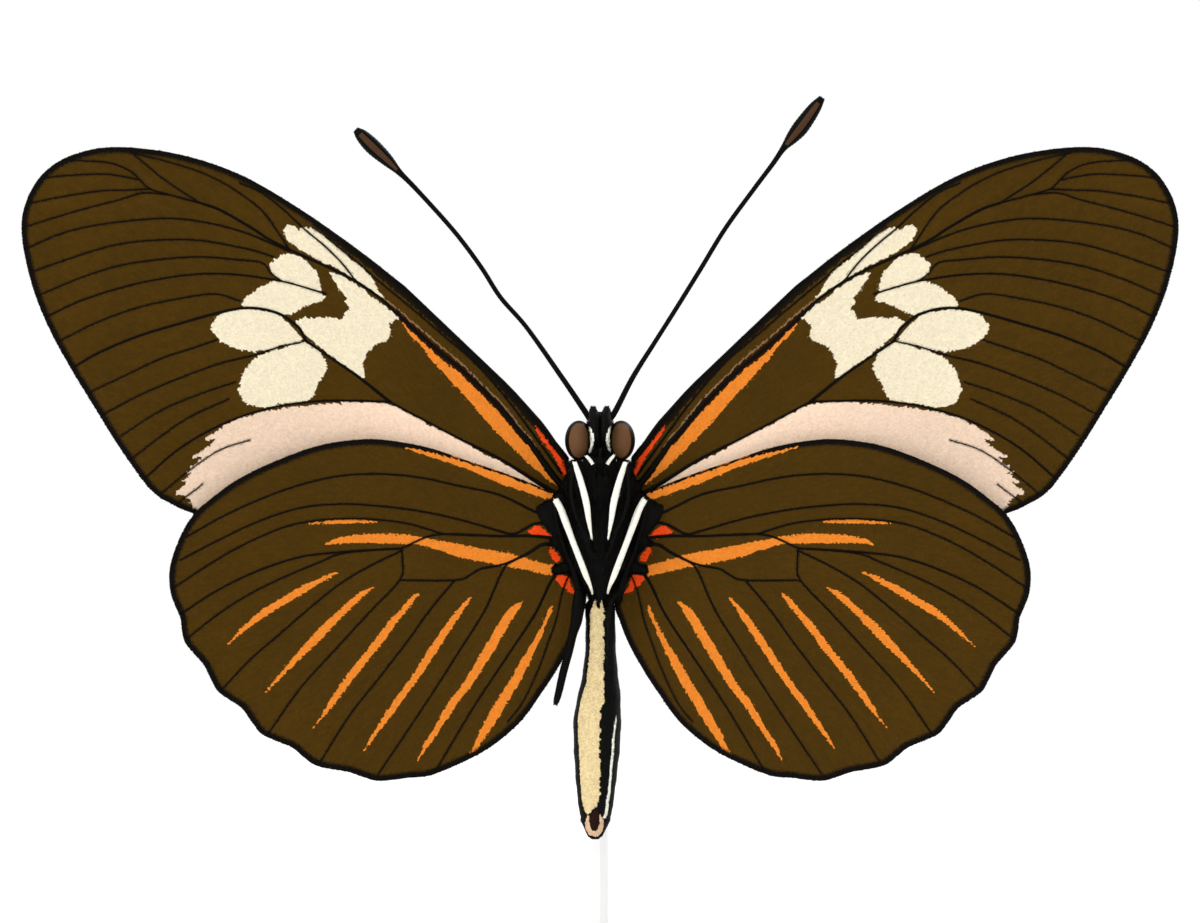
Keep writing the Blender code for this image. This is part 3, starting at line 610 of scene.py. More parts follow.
def tube(points, half_sizes, up, sides=8):
    """Corners and faces of a closed tube. Half sizes are (across, along up) or (radius) at each point."""
    points, half_sizes = np.asarray(points, float), np.asarray(half_sizes, float)
    _, across, rise = axes_along(points, up)
    angle = np.arange(sides) * math.tau / sides
    ring = (
        points[:, None]
        + across[:, None] * (half_sizes[:, :1] * np.cos(angle))[..., None]
        + rise[:, None] * (half_sizes[:, -1:] * np.sin(angle))[..., None]
    )
    last = (len(points) - 1) * sides
    faces = [tuple(f) for f in ring_faces(len(points), sides)]
    faces += [tuple(reversed(range(sides))), tuple(range(last, last + sides))]
    return ring.reshape(-1, 3), faces


def joined(parts):
    """Corners, faces and tints of several meshes as one. Each part is (corners, faces, tints)."""
    corners, faces, tints, start = [], [], [], 0
    for points, part_faces, part_tints in parts:
        corners.append(points)
        faces += [tuple(start + c for c in face) for face in part_faces]
        tints.append(np.broadcast_to(part_tints, (len(part_faces), 3)))
        start += len(points)
    return np.vstack(corners), faces, np.vstack(tints)


# Wings

def outline_of(name):
    """The outline of a wing's solid as (distance from the midline, height), in order."""
    mesh = bmesh.new()
    mesh.from_mesh(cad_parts[name].data)
    bmesh.ops.remove_doubles(mesh, verts=mesh.verts, dist=0.001 * MM)
    mesh.normal_update()
    mesh.verts.index_update()
    places = np.array([(abs(v.co.x), v.co.z) for v in mesh.verts])
    rim = {}
    for edge in mesh.edges:
        if sum(face.normal.y > 0.1 for face in edge.link_faces) == 1:
            a, b = (v.index for v in edge.verts)
            rim.setdefault(a, set()).add(b)
            rim.setdefault(b, set()).add(a)
    mesh.free()
    loops = []
    while rim:
        loop = [next(iter(rim))]
        ahead = rim.pop(loop[0])
        while ahead := [v for v in ahead if v in rim]:
            loop.append(ahead[0])
            ahead = rim.pop(ahead[0])
        loops.append(places[loop])
    return max(loops, key=lambda loop: np.ptp(loop, axis=0).sum())


def rings_of(name):
    """Height, middle x, middle y, half width and half depth of each ring of a solid with level rings."""
    co = np.array([v.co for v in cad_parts[name].data.vertices])
    levels = np.unique(np.round(co[:, 2], 6))
    rings = []
    for level in levels:
        ring = co[np.abs(co[:, 2] - level) < 1e-6]
        low, high = ring.min(0), ring.max(0)
        rings.append((level, *(low[:2] + high[:2]) / 2, *(high[:2] - low[:2]) / 2))
    return np.array(rings)


def thorax_side(heights):
    """Half the thorax's width at each height, and 0 above and below it."""
    rings = rings_of("thorax")
    return np.interp(heights, rings[:, 0], rings[:, 3], left=0, right=0)


class Wing:
    """The shape that the pieces of one kind of wing share. Points are (distance from the midline, height)."""

    def __init__(self, kind, hinge, veins):
        co = np.array([v.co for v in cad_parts[kind + "_right"].data.vertices])
        self.arch, self.plane = np.polyfit(co[:, 0] ** 2, co[:, 1], 1)
        self.hinge = flat([hinge])[0]
        self.outline = self.reaching_body(outline_of(kind + "_right"))
        if kind == "hindwing":
            self.outline = drawn_in(self.outline)
        self.margin = Line(self.outline, 0.05 * MM, closed=True)
        self.veins = [(thickness, smooth_path(flat(path), 0.25 * MM)) for thickness, *path in veins]
        self.vein_tree = tree_of(np.vstack([smooth_path(path, 0.04 * MM) for _, path in self.veins]))

    def reaching_body(self, outline):
        """The outline with its root drawn in, so that the wing grows from inside the thorax."""
        root = outline[:, 0] < thorax_side(outline[:, 1]) + ROOT_MARGIN
        outline[root, 0] -= ROOT_REACH
        return outline

    def depth(self, points):
        """The y of the wing's middle surface."""
        distance, _ = nearest(self.vein_tree, points)
        pleat = PLEAT * (1 - np.exp(-((distance / PLEAT_REACH) ** 2)))
        return self.plane + self.arch * points[:, 0] ** 2 + pleat

    def on_sheet(self, points, side):
        x = side * points[:, 0]
        return np.stack([x, self.depth(points), points[:, 1]], 1)

    def normals(self, points, side, face):
        """Out of the under face for face -1 and out of the upper one for face 1."""
        slope = 2 * self.arch * points[:, 0] * side
        return unit(np.stack([-face * slope, np.full(len(points), face), np.zeros(len(points))], 1))

    def ways(self, points, side):
        """The way that scales point: out from the hinge, in the wing's surface."""
        out = unit(points - self.hinge)
        slope = 2 * self.arch * points[:, 0] * out[:, 0]
        return unit(np.stack([side * out[:, 0], slope, out[:, 1]], 1))

    def scale_roots(self, step):
        """Places in rows round the hinge, inside the outline, a step apart in each row."""
        row = ROW_STEP * step
        reach = np.linalg.norm(self.outline - self.hinge, axis=1).max()
        angle = np.arctan2(*(self.outline - self.hinge).T[::-1])
        low, high = angle.min(), angle.max()
        rows = []
        for number in range(2, math.ceil(reach / row)):
            radius = number * row
            count = math.ceil((high - low) * radius / step)
            turn = low + (np.arange(count) + 0.5 * (number % 2)) * step / radius
            rows.append(self.hinge + radius * np.stack([np.cos(turn), np.sin(turn)], 1))
        roots = np.vstack(rows)
        roots += DRAW.normal(0, ROOT_STRAY * step, roots.shape)
        roots = roots[is_inside(roots, self.outline)]
        distance, _ = self.margin.nearest(roots)
        return roots[distance > MARGIN_GAP]

    def on_map(self, points):
        low, size = self.outline.min(0), np.ptp(self.outline, axis=0).max()
        return 0.01 + 0.98 * (points - low) / size


def drawn_in(outline):
    """The hindwing's outline with its inner margin brought close to the abdomen."""
    where = pixels(outline)
    rows, columns = np.array(INNER_MARGIN).T
    inner = (where[:, 1] > rows[0]) & (where[:, 1] < rows[-1]) & (where[:, 0] > INNER_SIDE)
    where[inner, 0] = np.interp(where[inner, 1], rows, columns)
    return flat(where)


def blend(base, colour, share):
    """The base colours turned towards a colour by each point's share."""
    return base + (np.asarray(colour) - base) * np.clip(share, 0, 1)[:, None]


def patch_share(where, corners, ragged, seed):
    """1 inside a patch and 0 outside, with a ragged edge of a width in pixels."""
    corners = np.asarray(corners, float)
    low, high = corners.min(0) - 8, corners.max(0) + 8
    share = np.zeros(len(where))
    near = ((where > low) & (where < high)).all(1)
    if near.any():
        points = where[near]
        edge = Line(corners, 0.7, closed=True)
        outline = edge.points[:-1]
        distance, _ = edge.nearest(points)
        inward = np.where(is_inside(points, outline), distance, -distance)
        rough = ragged * (wobble(points, 5.0, seed) + 0.6 * wobble(points, 2.0, seed + 1))
        share[near] = inward > rough
    return share


def painted(tints, where, colour, patches, ragged, seed, step=1):
    """Tints with patches of a colour. Each patch's edge is drawn from a seed of its own."""
    for k, patch in enumerate(patches):
        tints = blend(tints, colour, patch_share(where, patch, ragged, seed + step * k))
    return tints


def ground(wing, where, face):
    """The wing's own colour, a little streaked outwards. Its veins and margin are darkened apart from it, by
    edge_tints.
    """
    out = where - pixels(wing.hinge[None])[0]
    polar = np.stack([np.arctan2(out[:, 1], out[:, 0]) * 180, np.linalg.norm(out, axis=1) / 6], 1)
    base = BROWN if face < 0 else UPPER_BROWN
    return base * (1 + 0.10 * wobble(polar, 1.0, 3) + 0.06 * wobble(where, 40.0, 4))[:, None]


def forewing_tints(wing, points, face):
    where = pixels(points)
    tints = ground(wing, where, face)
    tints = blend(tints, BLACK, 0.88 * patch_share(where, COSTAL_SHADE, 1.0, 17))
    if face < 0:
        # The dark band along the main vein, then the painted highlight beside it
        for path, colour, half_width in ((STEM_SHADE, STEM_DARK, 3.6), (STEM_GLEAM, GLEAM, 0.8)):
            distance, _ = Line(path, LINE_STEP).nearest(where)
            tints = blend(tints, colour, 0.9 * (distance < half_width))
        # Painted light: the pink is made lighter towards the body, against the shade that the hindwing casts
        # on it
        start, width, gain = PINK_PAINTED_LIGHT
        painted_light = 1 + gain * np.clip((where[:, 0] - start) / width, 0, 1)[:, None]
        tints = blend(tints, PINK * painted_light, patch_share(where, PINK_PATCH, 1.5, 11))
        tints = blend(tints, ORANGE, patch_share(where, CELL_RAY, RAY_RAGGED, 12))
        tints = painted(tints, where, RED, RED_SPOTS, SPOT_RAGGED, 13)
    else:
        tints = blend(tints, UPPER_RED, patch_share(where, UPPER_BASE_PATCH, 3.0, 14))
    tints = painted(tints, where, CREAM, CREAM_PATCHES, CREAM_RAGGED, 21, 3)
    return edge_tints(wing, points, tints)


def hindwing_tints(wing, points, face):
    where = pixels(points)
    tints = ground(wing, where, face)
    if face < 0:
        tints = painted(tints, where, ORANGE, HIND_RAYS, RAY_RAGGED, 41)
        tints = painted(tints, where, ORANGE, BAND_RAYS, RAY_RAGGED, 53)
        tints = painted(tints, where, RED, RED_HIND_SPOTS, SPOT_RAGGED, 56)
    else:
        tints = painted(tints, where, UPPER_RED, [towards_base(ray) for ray in HIND_RAYS], RAY_RAGGED, 41)
        tints = blend(tints, UPPER_RED, patch_share(where, UPPER_BAR, 2.0, 61))
    tints = edge_tints(wing, points, tints)
    if face < 0:
        clear = wing.margin.nearest(points)[0] > COSTAL_INK
        tints = blend(tints, ORANGE, patch_share(where, COSTAL_RAY, RAY_RAGGED, 51) * clear)
    return tints


def towards_base(ray):
    """A ray whose inner end reaches on towards the wing's root, as the rays of the upper side do."""
    ray = np.asarray(ray, float)
    inner = int(np.argmin(np.hypot(*(ray - HINDWING_HINGE).T)))
    ray[inner] += (np.array(HINDWING_HINGE) - ray[inner]) * 0.3
    return ray


def edge_tints(wing, points, tints):
    """Darkens the wing's margin and the scales beside its veins."""
    distance, _ = wing.margin.nearest(points)
    tints = blend(tints, BLACK, 2.5 - 2 * distance / MARGIN_BAND)
    beside, _ = nearest(wing.vein_tree, points)
    tints = blend(tints, VEIN_DARK, 1.0 - beside / VEIN_SHADE)
    return blend(tints, BODY_BLACK, patch_share(pixels(points), BODY_ZONE, 1.0, 75))


def add_membrane(wing, name, side, tint_of, material):
    """The wing's thin plate, split finely so that it bends and carries the markings under the scales."""
    cell = MEMBRANE_CELL
    edge = smooth_path(np.vstack([wing.outline, wing.outline[:1]]), 0.3 * MM)[:-1]
    low, high = wing.outline.min(0), wing.outline.max(0)
    columns, rows = np.meshgrid(np.arange(low[0], high[0], cell), np.arange(low[1], high[1], cell))
    inner = np.stack([columns.ravel(), rows.ravel()], 1)
    inner = inner[is_inside(inner, edge)]
    inner = inner[wing.margin.nearest(inner)[0] > 0.6 * cell]
    points = np.vstack([edge, inner])
    rim = [(k, (k + 1) % len(edge)) for k in range(len(edge))]
    found, _, triangles, *_ = delaunay_2d_cdt([Vector(p / MM) for p in points], rim, [], 1, 0.01)
    found = np.array(found) * MM
    triangles = np.array(triangles)
    middles = found[triangles].mean(1)
    corners, faces, tints = [], [], []
    for face in (-1, 1):
        start = len(found) * (face > 0)
        corners.append(wing.on_sheet(found, side) + wing.normals(found, side, face) * MEMBRANE / 2)
        turned = triangles if side * face < 0 else triangles[:, ::-1]
        faces += [tuple(start + c for c in triangle) for triangle in turned]
        tints.append(tint_of(wing, middles, face))
    uses = {}
    for triangle in triangles:
        for a, b in zip(triangle, np.roll(triangle, -1)):
            uses.setdefault((min(a, b), max(a, b)), []).append((a, b))
    edges = [pairs[0] for pairs in uses.values() if len(pairs) == 1]
    count = len(found)
    for a, b in edges:
        quad = (b, a, count + a, count + b)
        faces.append(quad if side < 0 else quad[::-1])
    tints.append(all_of(BLACK, len(edges)))
    return add_object(name, np.vstack(corners), faces, material, np.vstack(tints))


def add_scales(wing, name, side, face, tint_of, material):
    """One face's coat of overlapping scales."""
    points = wing.scale_roots(SCALE_SPACING[face])
    count = len(points)
    length = SCALE_LENGTH[face]
    ups = wing.normals(points, side, face)
    ways = wing.ways(points, side)
    turn = DRAW.normal(0, 0.09, count)[:, None]
    ways = unit(ways + turn * np.cross(ways, ups))
    roots = wing.on_sheet(points, side) + ups * (MEMBRANE / 2 - 0.004 * MM)
    sizes = card_sizes(count, SCALE_WIDTH * length, length, SCALE_LIFT)
    distance, _ = wing.margin.nearest(points)
    sizes[:, 1] = np.minimum(sizes[:, 1], distance + 0.05 * MM)
    coloured = points + unit(points - wing.hinge) * 0.6 * length
    tints = uneven(tint_of(wing, coloured, face), 0.045)
    return add_coat(name, SCALE_SHAPE, roots, ways, ups, sizes, tints, wing.on_map(points), material)


def add_fringe(wing, name, side, material):
    """Narrow scales that stand out from the margin, in the wing's plane."""
    path = wing.margin.points[::2]
    run = unit(np.gradient(path, axis=0))
    outward = np.stack([run[:, 1], -run[:, 0]], 1)
    probe = is_inside(path + outward * 0.05 * MM, wing.outline)
    outward[probe] *= -1
    free = path[:, 0] > thorax_side(path[:, 1]) + 0.3 * MM
    path, outward = path[free], outward[free]
    count = len(path)
    ups = wing.normals(path, side, -1)
    ways = unit(np.stack([side * outward[:, 0], np.zeros(count), outward[:, 1]], 1))
    ways = unit(ways + DRAW.normal(0, 0.12, count)[:, None] * np.cross(ways, ups))
    roots = wing.on_sheet(path, side) - ways * FRINGE_DEPTH + ups * DRAW.normal(0, 0.02 * MM, count)[:, None]
    sizes = card_sizes(count, FRINGE_WIDTH, FRINGE_LENGTH, 0.0)
    tints = uneven(all_of(BLACK, count), 0.15)
    return add_coat(name, HAIR_SHAPE, roots, ways, ups, sizes, tints, wing.on_map(path), material)


def add_veins(wing, name, side, material):
    """The veins, proud of the scales on both faces."""
    parts = []
    for thickness, path in wing.veins:
        inside = is_inside(path, wing.outline)
        path = path[inside]
        if len(path) < 3:
            continue
        near_root = np.clip((12 * MM - path[:, 0]) / (9 * MM), 0, 1)
        taper = 1 - 0.3 * np.linspace(0, 1, len(path)) + 0.8 * near_root**3
        half_width = VEIN_HALF_WIDTH * thickness * taper
        half_height = MEMBRANE / 2 + SCALE_LIFT * 1.25 + VEIN_RISE * thickness * taper
        points = wing.on_sheet(path, side)
        corners, faces = tube(points, np.stack([half_width, half_height], 1), (0, -1, 0))
        parts.append((corners, faces, VEIN_DARK))
    corners, faces, tints = joined(parts)
    return add_object(name, corners, faces, material, tints)


def add_wing(kind, hinge, veins, tint_of, surfaces):
    wing = Wing(kind, hinge, veins)
    for suffix, side in SIDES:
        name = f"{kind}_{suffix}"
        membrane = add_membrane(wing, name + "_membrane", side, tint_of, surfaces["wing"])
        ride(membrane, "wing_scales", name)
        for word, face in FACES:
            coat = add_scales(wing, f"{name}_{word}_scales", side, face, tint_of, surfaces["wing"])
            ride(coat, "wing_scales")
        ride(add_fringe(wing, name + "_fringe", side, surfaces["wing"]), "wing_scales")
        ride(add_veins(wing, name + "_veins", side, surfaces["vein"]), "wing_scales")
    return wing


# Body

def evened(values, weights):
    """Values smoothed by weights round each of them, with the ends held."""
    return np.convolve(np.pad(values, len(weights) // 2, mode="edge"), weights, "valid")


# The abdomen's grooves are made shallower between these two distances from its ends
TAIL_LEFT, WAIST_LEFT = 1.5 * MM, 1.0 * MM
RING_STEP = 0.06 * MM


class Body:
    """The smooth body that the head, thorax and abdomen share, inside their solids by the coat's depth."""

    def __init__(self):
        rings = []
        for name in ("abdomen", "thorax", "head"):
            part = rings_of(name)
            part[:, 3:] -= FUR_DEPTH[name]
            rings.append(part)
        rings = np.vstack(rings)
        self.low, self.high = rings[0, 0], rings[-1, 0]
        self.z = np.arange(self.low, self.high, RING_STEP)
        self.rings = np.stack([np.interp(self.z, rings[:, 0], rings[:, k]) for k in range(1, 5)], 1)
        soft = np.array((1, 2, 3, 2, 1)) / 9
        for k in range(4):
            self.rings[:, k] = evened(self.rings[:, k], soft)
        even = (self.z > self.low + TAIL_LEFT) & (self.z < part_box("abdomen")[1][2] - WAIST_LEFT)
        broad = np.ones(17) / 17
        for k in (2, 3):
            self.rings[even, k] = evened(self.rings[:, k], broad)[even]
        self.rings[:, 2:] = np.maximum(self.rings[:, 2:], 0.05 * MM)

    def at(self, z):
        return np.stack([np.interp(z, self.z, self.rings[:, k]) for k in range(4)], -1)

    def point(self, z, angle):
        """A point of the surface. Angle 0 is the middle of the underside, growing to the viewer's left."""
        x, y, wide, deep = self.at(z).T
        return np.stack([x - wide * np.sin(angle), y - deep * np.cos(angle), z], 1)

    def normal(self, z, angle):
        step = 0.05 * MM
        _, _, wide, deep = self.at(z).T
        level = unit(np.stack([-np.sin(angle) * deep, -np.cos(angle) * wide], 1))
        above, below = (self.at(z + way * step)[:, 2:].mean(1) for way in (1, -1))
        slope = (above - below) / (2 * step)
        return unit(np.stack([level[:, 0], level[:, 1], -slope], 1))

    def scatter(self, low, high, density):
        """Heights and angles of points spread evenly over the surface between two heights."""
        heights = np.arange(low, high, 0.1 * MM)
        around = math.pi * self.at(heights)[:, 2:].sum(1)
        count = int(density * around.sum() * 0.1 * MM)
        z = DRAW.choice(heights, count, p=around / around.sum()) + DRAW.uniform(0, 0.1 * MM, count)
        return z, DRAW.uniform(-math.pi, math.pi, count)


def body_tints(points):
    """The body's markings: the abdomen's pale band, thin line and vent, and the lines beside the eyes."""
    where = pixels(np.stack([-points[:, 0], points[:, 2]], 1))
    tints = all_of(BODY_BLACK, len(points))
    front = points[:, 1] < -0.1 * MM
    tints = blend(tints, BELLY, patch_share(where, ABDOMEN_BAND, 0.3, 71) * front)
    distance, _ = Line(ABDOMEN_EDGE, LINE_STEP).nearest(where)
    tints = blend(tints, BODY_BLACK, distance < 1.0 + 1.6 * wobble(where, 3.0, 73))
    distance, share = Line(ABDOMEN_LINE, LINE_STEP).nearest(where)
    width = (0.9 + 0.5 * share) * np.minimum(1, 12 * share)
    tints = blend(tints, BODY_WHITE, (distance < width) * front)
    for colour, (column, row, half_width, half_height) in ((VENT_PALE, VENT_RIM), (VENT_DARK, VENT)):
        out = np.hypot((where[:, 0] - column) / half_width, (where[:, 1] - row) / half_height)
        tints = blend(tints, colour, (out < 1) * front)
    distance, _ = Line(BAND_END, 0.5).nearest(where)
    tints = blend(tints, BODY_BLACK, distance < 1.0)
    mirrored = np.stack([MIDLINE - np.abs(where[:, 0] - MIDLINE), where[:, 1]], 1)
    distance, share = Line(EYE_LINE, 0.5).nearest(mirrored)
    return blend(tints, BODY_WHITE, (distance < 1.4 * np.sin(share * math.pi) ** 0.5) * front)


def add_skin(body, material):
    sides = 72
    angle = np.linspace(-math.pi, math.pi, sides, endpoint=False)
    z, turn = np.meshgrid(body.z, angle, indexing="ij")
    corners = body.point(z.ravel(), turn.ravel())
    quads = ring_faces(len(body.z), sides)[:, [0, 3, 2, 1]]
    last = (len(body.z) - 1) * sides
    faces = [tuple(f) for f in quads] + [tuple(range(sides)), tuple(reversed(range(last, last + sides)))]
    tints = body_tints(corners[quads].mean(1))
    tints = np.vstack([tints, [BODY_BLACK, BODY_BLACK]])
    return add_object("body_skin", corners, faces, material, tints)


def add_body_coat(body, name, rows, density, sizes, shape, towards, material):
    """Hairs or scales on the body between two rows, lying towards the tail for -1 or the head for 1."""
    low, high = flat([(0, row) for row in rows])[:, 1]
    z, angle = body.scatter(low, high, density / MM**2)
    roots, ups = body.point(z, angle), body.normal(z, angle)
    ways = all_of((0.0, 0.0, towards), len(z)) + DRAW.normal(0, 0.16, (len(z), 3))
    ways = laid(ways, ups)
    sizes = card_sizes(len(z), *sizes, 0.2)
    tints = uneven(body_tints(roots + ways * sizes[:, 1:2] / 2), 0.12)
    places = np.stack([angle / math.tau + 0.5, (z - body.low) / (body.high - body.low)], 1) * 0.98 + 0.01
    return add_coat(name, shape, roots - ups * 0.03 * MM, ways, ups, sizes, tints, places, material)


def add_tufts(wings, name, side, face, material):
    """The body's hair over the wings' roots, on one face, out to the edge of the black zone."""
    zone = Line(flat(BODY_ZONE), 0.05 * MM, closed=True)
    points = DRAW.uniform(zone.points.min(0), zone.points.max(0), (TUFT_HAIRS, 2))
    forewing, hindwing = wings
    first, second = (hindwing, forewing) if face < 0 else (forewing, hindwing)
    on_first = is_inside(points, first.outline)
    kept = is_inside(points, zone.points) & (on_first | is_inside(points, second.outline))
    points, on_first = points[kept], on_first[kept, None]
    count = len(points)
    ups = all_of((0.0, face, 0.0), count)
    roots = np.where(on_first, first.on_sheet(points, side), second.on_sheet(points, side))
    distance, _ = zone.nearest(points)
    roots += ups * (0.08 * MM + 0.35 * np.minimum(distance, 0.6 * MM))[:, None]
    turn = DRAW.normal(-0.25, 0.3, count)
    ways = np.stack([side * np.cos(turn), np.full(count, -0.12 * face), np.sin(turn)], 1)
    sizes = card_sizes(count, 0.075 * MM, 0.75 * MM, 0.1 * MM, 0.2)
    sizes[:, 1] = np.minimum(sizes[:, 1], distance + 0.05 * MM)
    tints = uneven(all_of(BODY_BLACK, count), 0.15)
    places = 0.01 + 0.98 * (points - zone.points.min(0)) / np.ptp(zone.points, axis=0).max()
    return add_coat(name, HAIR_SHAPE, roots, unit(ways), ups, sizes, tints, places, material)


def ball(subdivisions):
    """Corners and faces of a ball of radius 1."""
    mesh = bmesh.new()
    bmesh.ops.create_icosphere(mesh, subdivisions=subdivisions, radius=1.0)
    corners = np.array([v.co for v in mesh.verts])
    faces = [tuple(v.index for v in f.verts) for f in mesh.faces]
    mesh.free()
    return corners, faces


def add_shoulder(name, side, surfaces):
    """The small scaly cap over a forewing's root."""
    out, faces = ball(4)
    radii, middle = np.array(SHOULDER_RADII) * MM, place(*SHOULDER, side)
    tints = all_of(BODY_BLACK, len(faces))
    ride(add_object(name, out * radii + middle, faces, surfaces["skin"], tints), "body_hair")
    ups = unit(DRAW.normal(0, 1, (SHOULDER_HAIRS, 3)))
    ways = np.array((side * 0.7, 0.0, -0.7)) + DRAW.normal(0, 0.15, ups.shape)
    ways = laid(ways, ups)
    sizes = card_sizes(len(ups), 0.08 * MM, 0.3 * MM, 0.08 * MM, 0.2)
    tints = uneven(all_of(BODY_BLACK, len(ups)), 0.15)
    coat = add_coat(name + "_coat", HAIR_SHAPE, ups * radii * 0.95 + middle, ways, ups, sizes, tints,
                    0.5 + 0.45 * ups[:, ::2], surfaces["fur"])
    ride(coat, "body_hair")


def add_body(wings, surfaces):
    body = Body()
    ride(add_skin(body, surfaces["skin"]), "body_hair", "head", "thorax", "abdomen")
    fur = surfaces["fur"]
    # Rows, cards in each square millimetre, (width, length, lift) in millimetres, shape and way
    coats = (
        ("abdomen_scales", (836, 603), 220, (0.085, 0.17, 0.05), SCALE_SHAPE, -1.0),
        ("thorax_fur", (600, 472), 110, (0.07, 0.62, 0.24), HAIR_SHAPE, -1.0),
        ("collar_fur", (504, 468), 260, (0.08, 1.05, 0.62), HAIR_SHAPE, 1.0),
        ("head_fur", (466, 420), 170, (0.055, 0.24, 0.12), HAIR_SHAPE, 1.0),
    )
    for name, rows, density, sizes, shape, towards in coats:
        coat = add_body_coat(body, name, rows, density, np.array(sizes) * MM, shape, towards, fur)
        ride(coat, "abdomen_scales" if name == "abdomen_scales" else "body_hair")
    for suffix, side in SIDES:
        add_shoulder("shoulder_" + suffix, side, surfaces)
        for word, face in FACES:
            ride(add_tufts(wings, f"{word}_tuft_{suffix}", side, face, fur), "body_hair")


# Head, legs and feelers

def add_eye(name, side, material):
    corners, faces = ball(6)
    middle = place(*EYE_MIDDLE, side)
    out = corners[np.array(faces)].mean(1)
    # A dark rim at the edge of the eye's front half: partly its ring of hair, partly painted shade at the
    # edge
    rim = (np.hypot(out[:, 0] / 0.68, out[:, 2] / 0.84) - 1) / 0.08
    tints = blend(all_of(EYE_BROWN, len(faces)), EYE_RIM_AND_SHADE, rim * (out[:, 1] < 0.3))
    return add_object(name, corners * np.array(EYE_RADII) * MM + middle, faces, material, tints)


def limb_path(points, radii, side, spacing=0.1 * MM):
    """Close points along a limb, each with its radius: (x, y, z, radius)."""
    return smooth_path([np.append(place(*p, side), r * MM) for p, r in zip(points, radii)], spacing)


def limb_mesh(path, tint_of):
    corners, faces = tube(path[:, :3], path[:, 3:], (0, -1, 0), LIMB_SIDES)
    count = len(path) - 1
    share = np.repeat((np.arange(count) + 0.5) / count, LIMB_SIDES)
    facing = np.tile(np.sin((np.arange(LIMB_SIDES) + 0.5) * math.tau / LIMB_SIDES), count)
    tints = tint_of(share, facing, corners[np.array(faces[:-2])].mean(1))
    return corners, faces, np.vstack([tints, tints[:1], tints[-1:]])


def limb_cards(path, density, tint_of):
    """Roots, ways, ups, tints and places of the hairs on a limb, which lie towards its tip."""
    run, across, rise = axes_along(path[:, :3], (0, -1, 0))
    steps = np.linalg.norm(np.diff(path[:, :3], axis=0), axis=1)
    count = int(density / MM**2 * (steps * path[1:, 3]).sum() * math.tau)
    at = np.sort(DRAW.uniform(0, len(path) - 1, count))
    angle = DRAW.uniform(0, math.tau, count)
    k = at.astype(int)
    ups = unit(across[k] * np.cos(angle)[:, None] + rise[k] * np.sin(angle)[:, None])
    middles = path[k, :3] + (path[k + 1, :3] - path[k, :3]) * (at - k)[:, None]
    roots = middles + ups * (path[k, 3] * 0.9)[:, None]
    ways = unit(run[k] + DRAW.normal(0, 0.12, (count, 3)))
    share = at / (len(path) - 1)
    tints = tint_of(share, np.sin(angle) + DRAW.normal(0, 0.08, count), roots)
    places = np.stack([0.01 + 0.98 * share, 0.01 + 0.9 * angle / math.tau], 1)
    return roots, ways, ups, tints, places


def add_limb(name, pieces, coat_sizes, density, surfaces, slot, replaced):
    """A limb of tubes under short hairs. A piece is (path, function of share, facing and points)."""
    corners, faces, tints = joined([limb_mesh(path, tint_of) for path, tint_of in pieces])
    ride(add_object(name, corners, faces, surfaces["limb"], tints), slot, replaced)
    cards = [limb_cards(path, density, tint_of) for path, tint_of in pieces]
    roots, ways, ups, tints, places = (np.vstack(arrays) for arrays in zip(*cards))
    sizes = card_sizes(len(roots), *(np.array(coat_sizes) * MM), 0.2)
    tints = uneven(tints, 0.12)
    coat = add_coat(name + "_coat", HAIR_SHAPE, roots, ways, ups, sizes, tints, places, surfaces["fur"])
    ride(coat, slot)


def striped(start, facing_limit):
    """Tints of a black limb with a white stripe down its front from a share of its length on."""
    def tint_of(share, facing, points):
        white = (share > start) & (facing > facing_limit)
        return blend(all_of(BODY_BLACK, len(share)), BODY_WHITE, white)
    return tint_of


def plain_black(share, facing, points):
    return all_of(BODY_BLACK, len(share))


def marked(share, facing, points):
    return body_tints(points)


def add_legs(surfaces):
    sizes = (0.05, 0.14, 0.03)
    for suffix, side in SIDES:
        foot, foot_radii = (FREE_FOOT, FREE_FOOT_RADII) if side < 0 else (FOLDED_FOOT, FOLDED_FOOT_RADII)
        legs = {
            "foreleg": ((FORELEG, FORELEG_RADII, striped(0.62, 0.4)),),
            "midleg": (
                (MIDLEG[0], MIDLEG_RADII[0], striped(0.18, 0.1)),
                (MIDLEG[1], MIDLEG_RADII[1], plain_black),
                (MIDLEG[2], MIDLEG_RADII[2], plain_black),
            ),
            "hindleg": (
                (HINDLEG[0], HINDLEG_RADII[0], striped(0.12, 0.05)),
                (HINDLEG[1], HINDLEG_RADII[1], plain_black),
                (foot, foot_radii, plain_black),
            ),
        }
        for leg, pieces in legs.items():
            made = [(limb_path(points, radii, side), tint_of) for points, radii, tint_of in pieces]
            add_limb(f"{leg}_{suffix}_limb", made, sizes, 110, surfaces, "leg", f"{leg}_{suffix}")


def feeler_tints(share, facing, points):
    brown = (share > CLUB_START) * (share < 0.98) * (np.abs(facing) > 0.88)
    return blend(all_of(BODY_BLACK, len(share)), CLUB_BROWN, brown)


def add_feeler(name, path, surfaces):
    points = [(*p, FEELER_DEPTH) for p in path]
    plain = len(points) - len(CLUB_WIDTHS)
    radii = [FEELER_RADIUS * (1.4 - 0.4 * min(1, k / 3)) for k in range(plain)]
    radii += [FEELER_RADIUS * width for width in CLUB_WIDTHS]
    found = limb_path(points, radii, -1, 0.06 * MM)
    found[:, 3] *= 1 + 0.02 * np.cos(np.arange(len(found)) * math.tau / 4)
    add_limb(name + "_shaft", [(found, feeler_tints)], (0.03, 0.08, 0.004), 150, surfaces, "feeler", name)


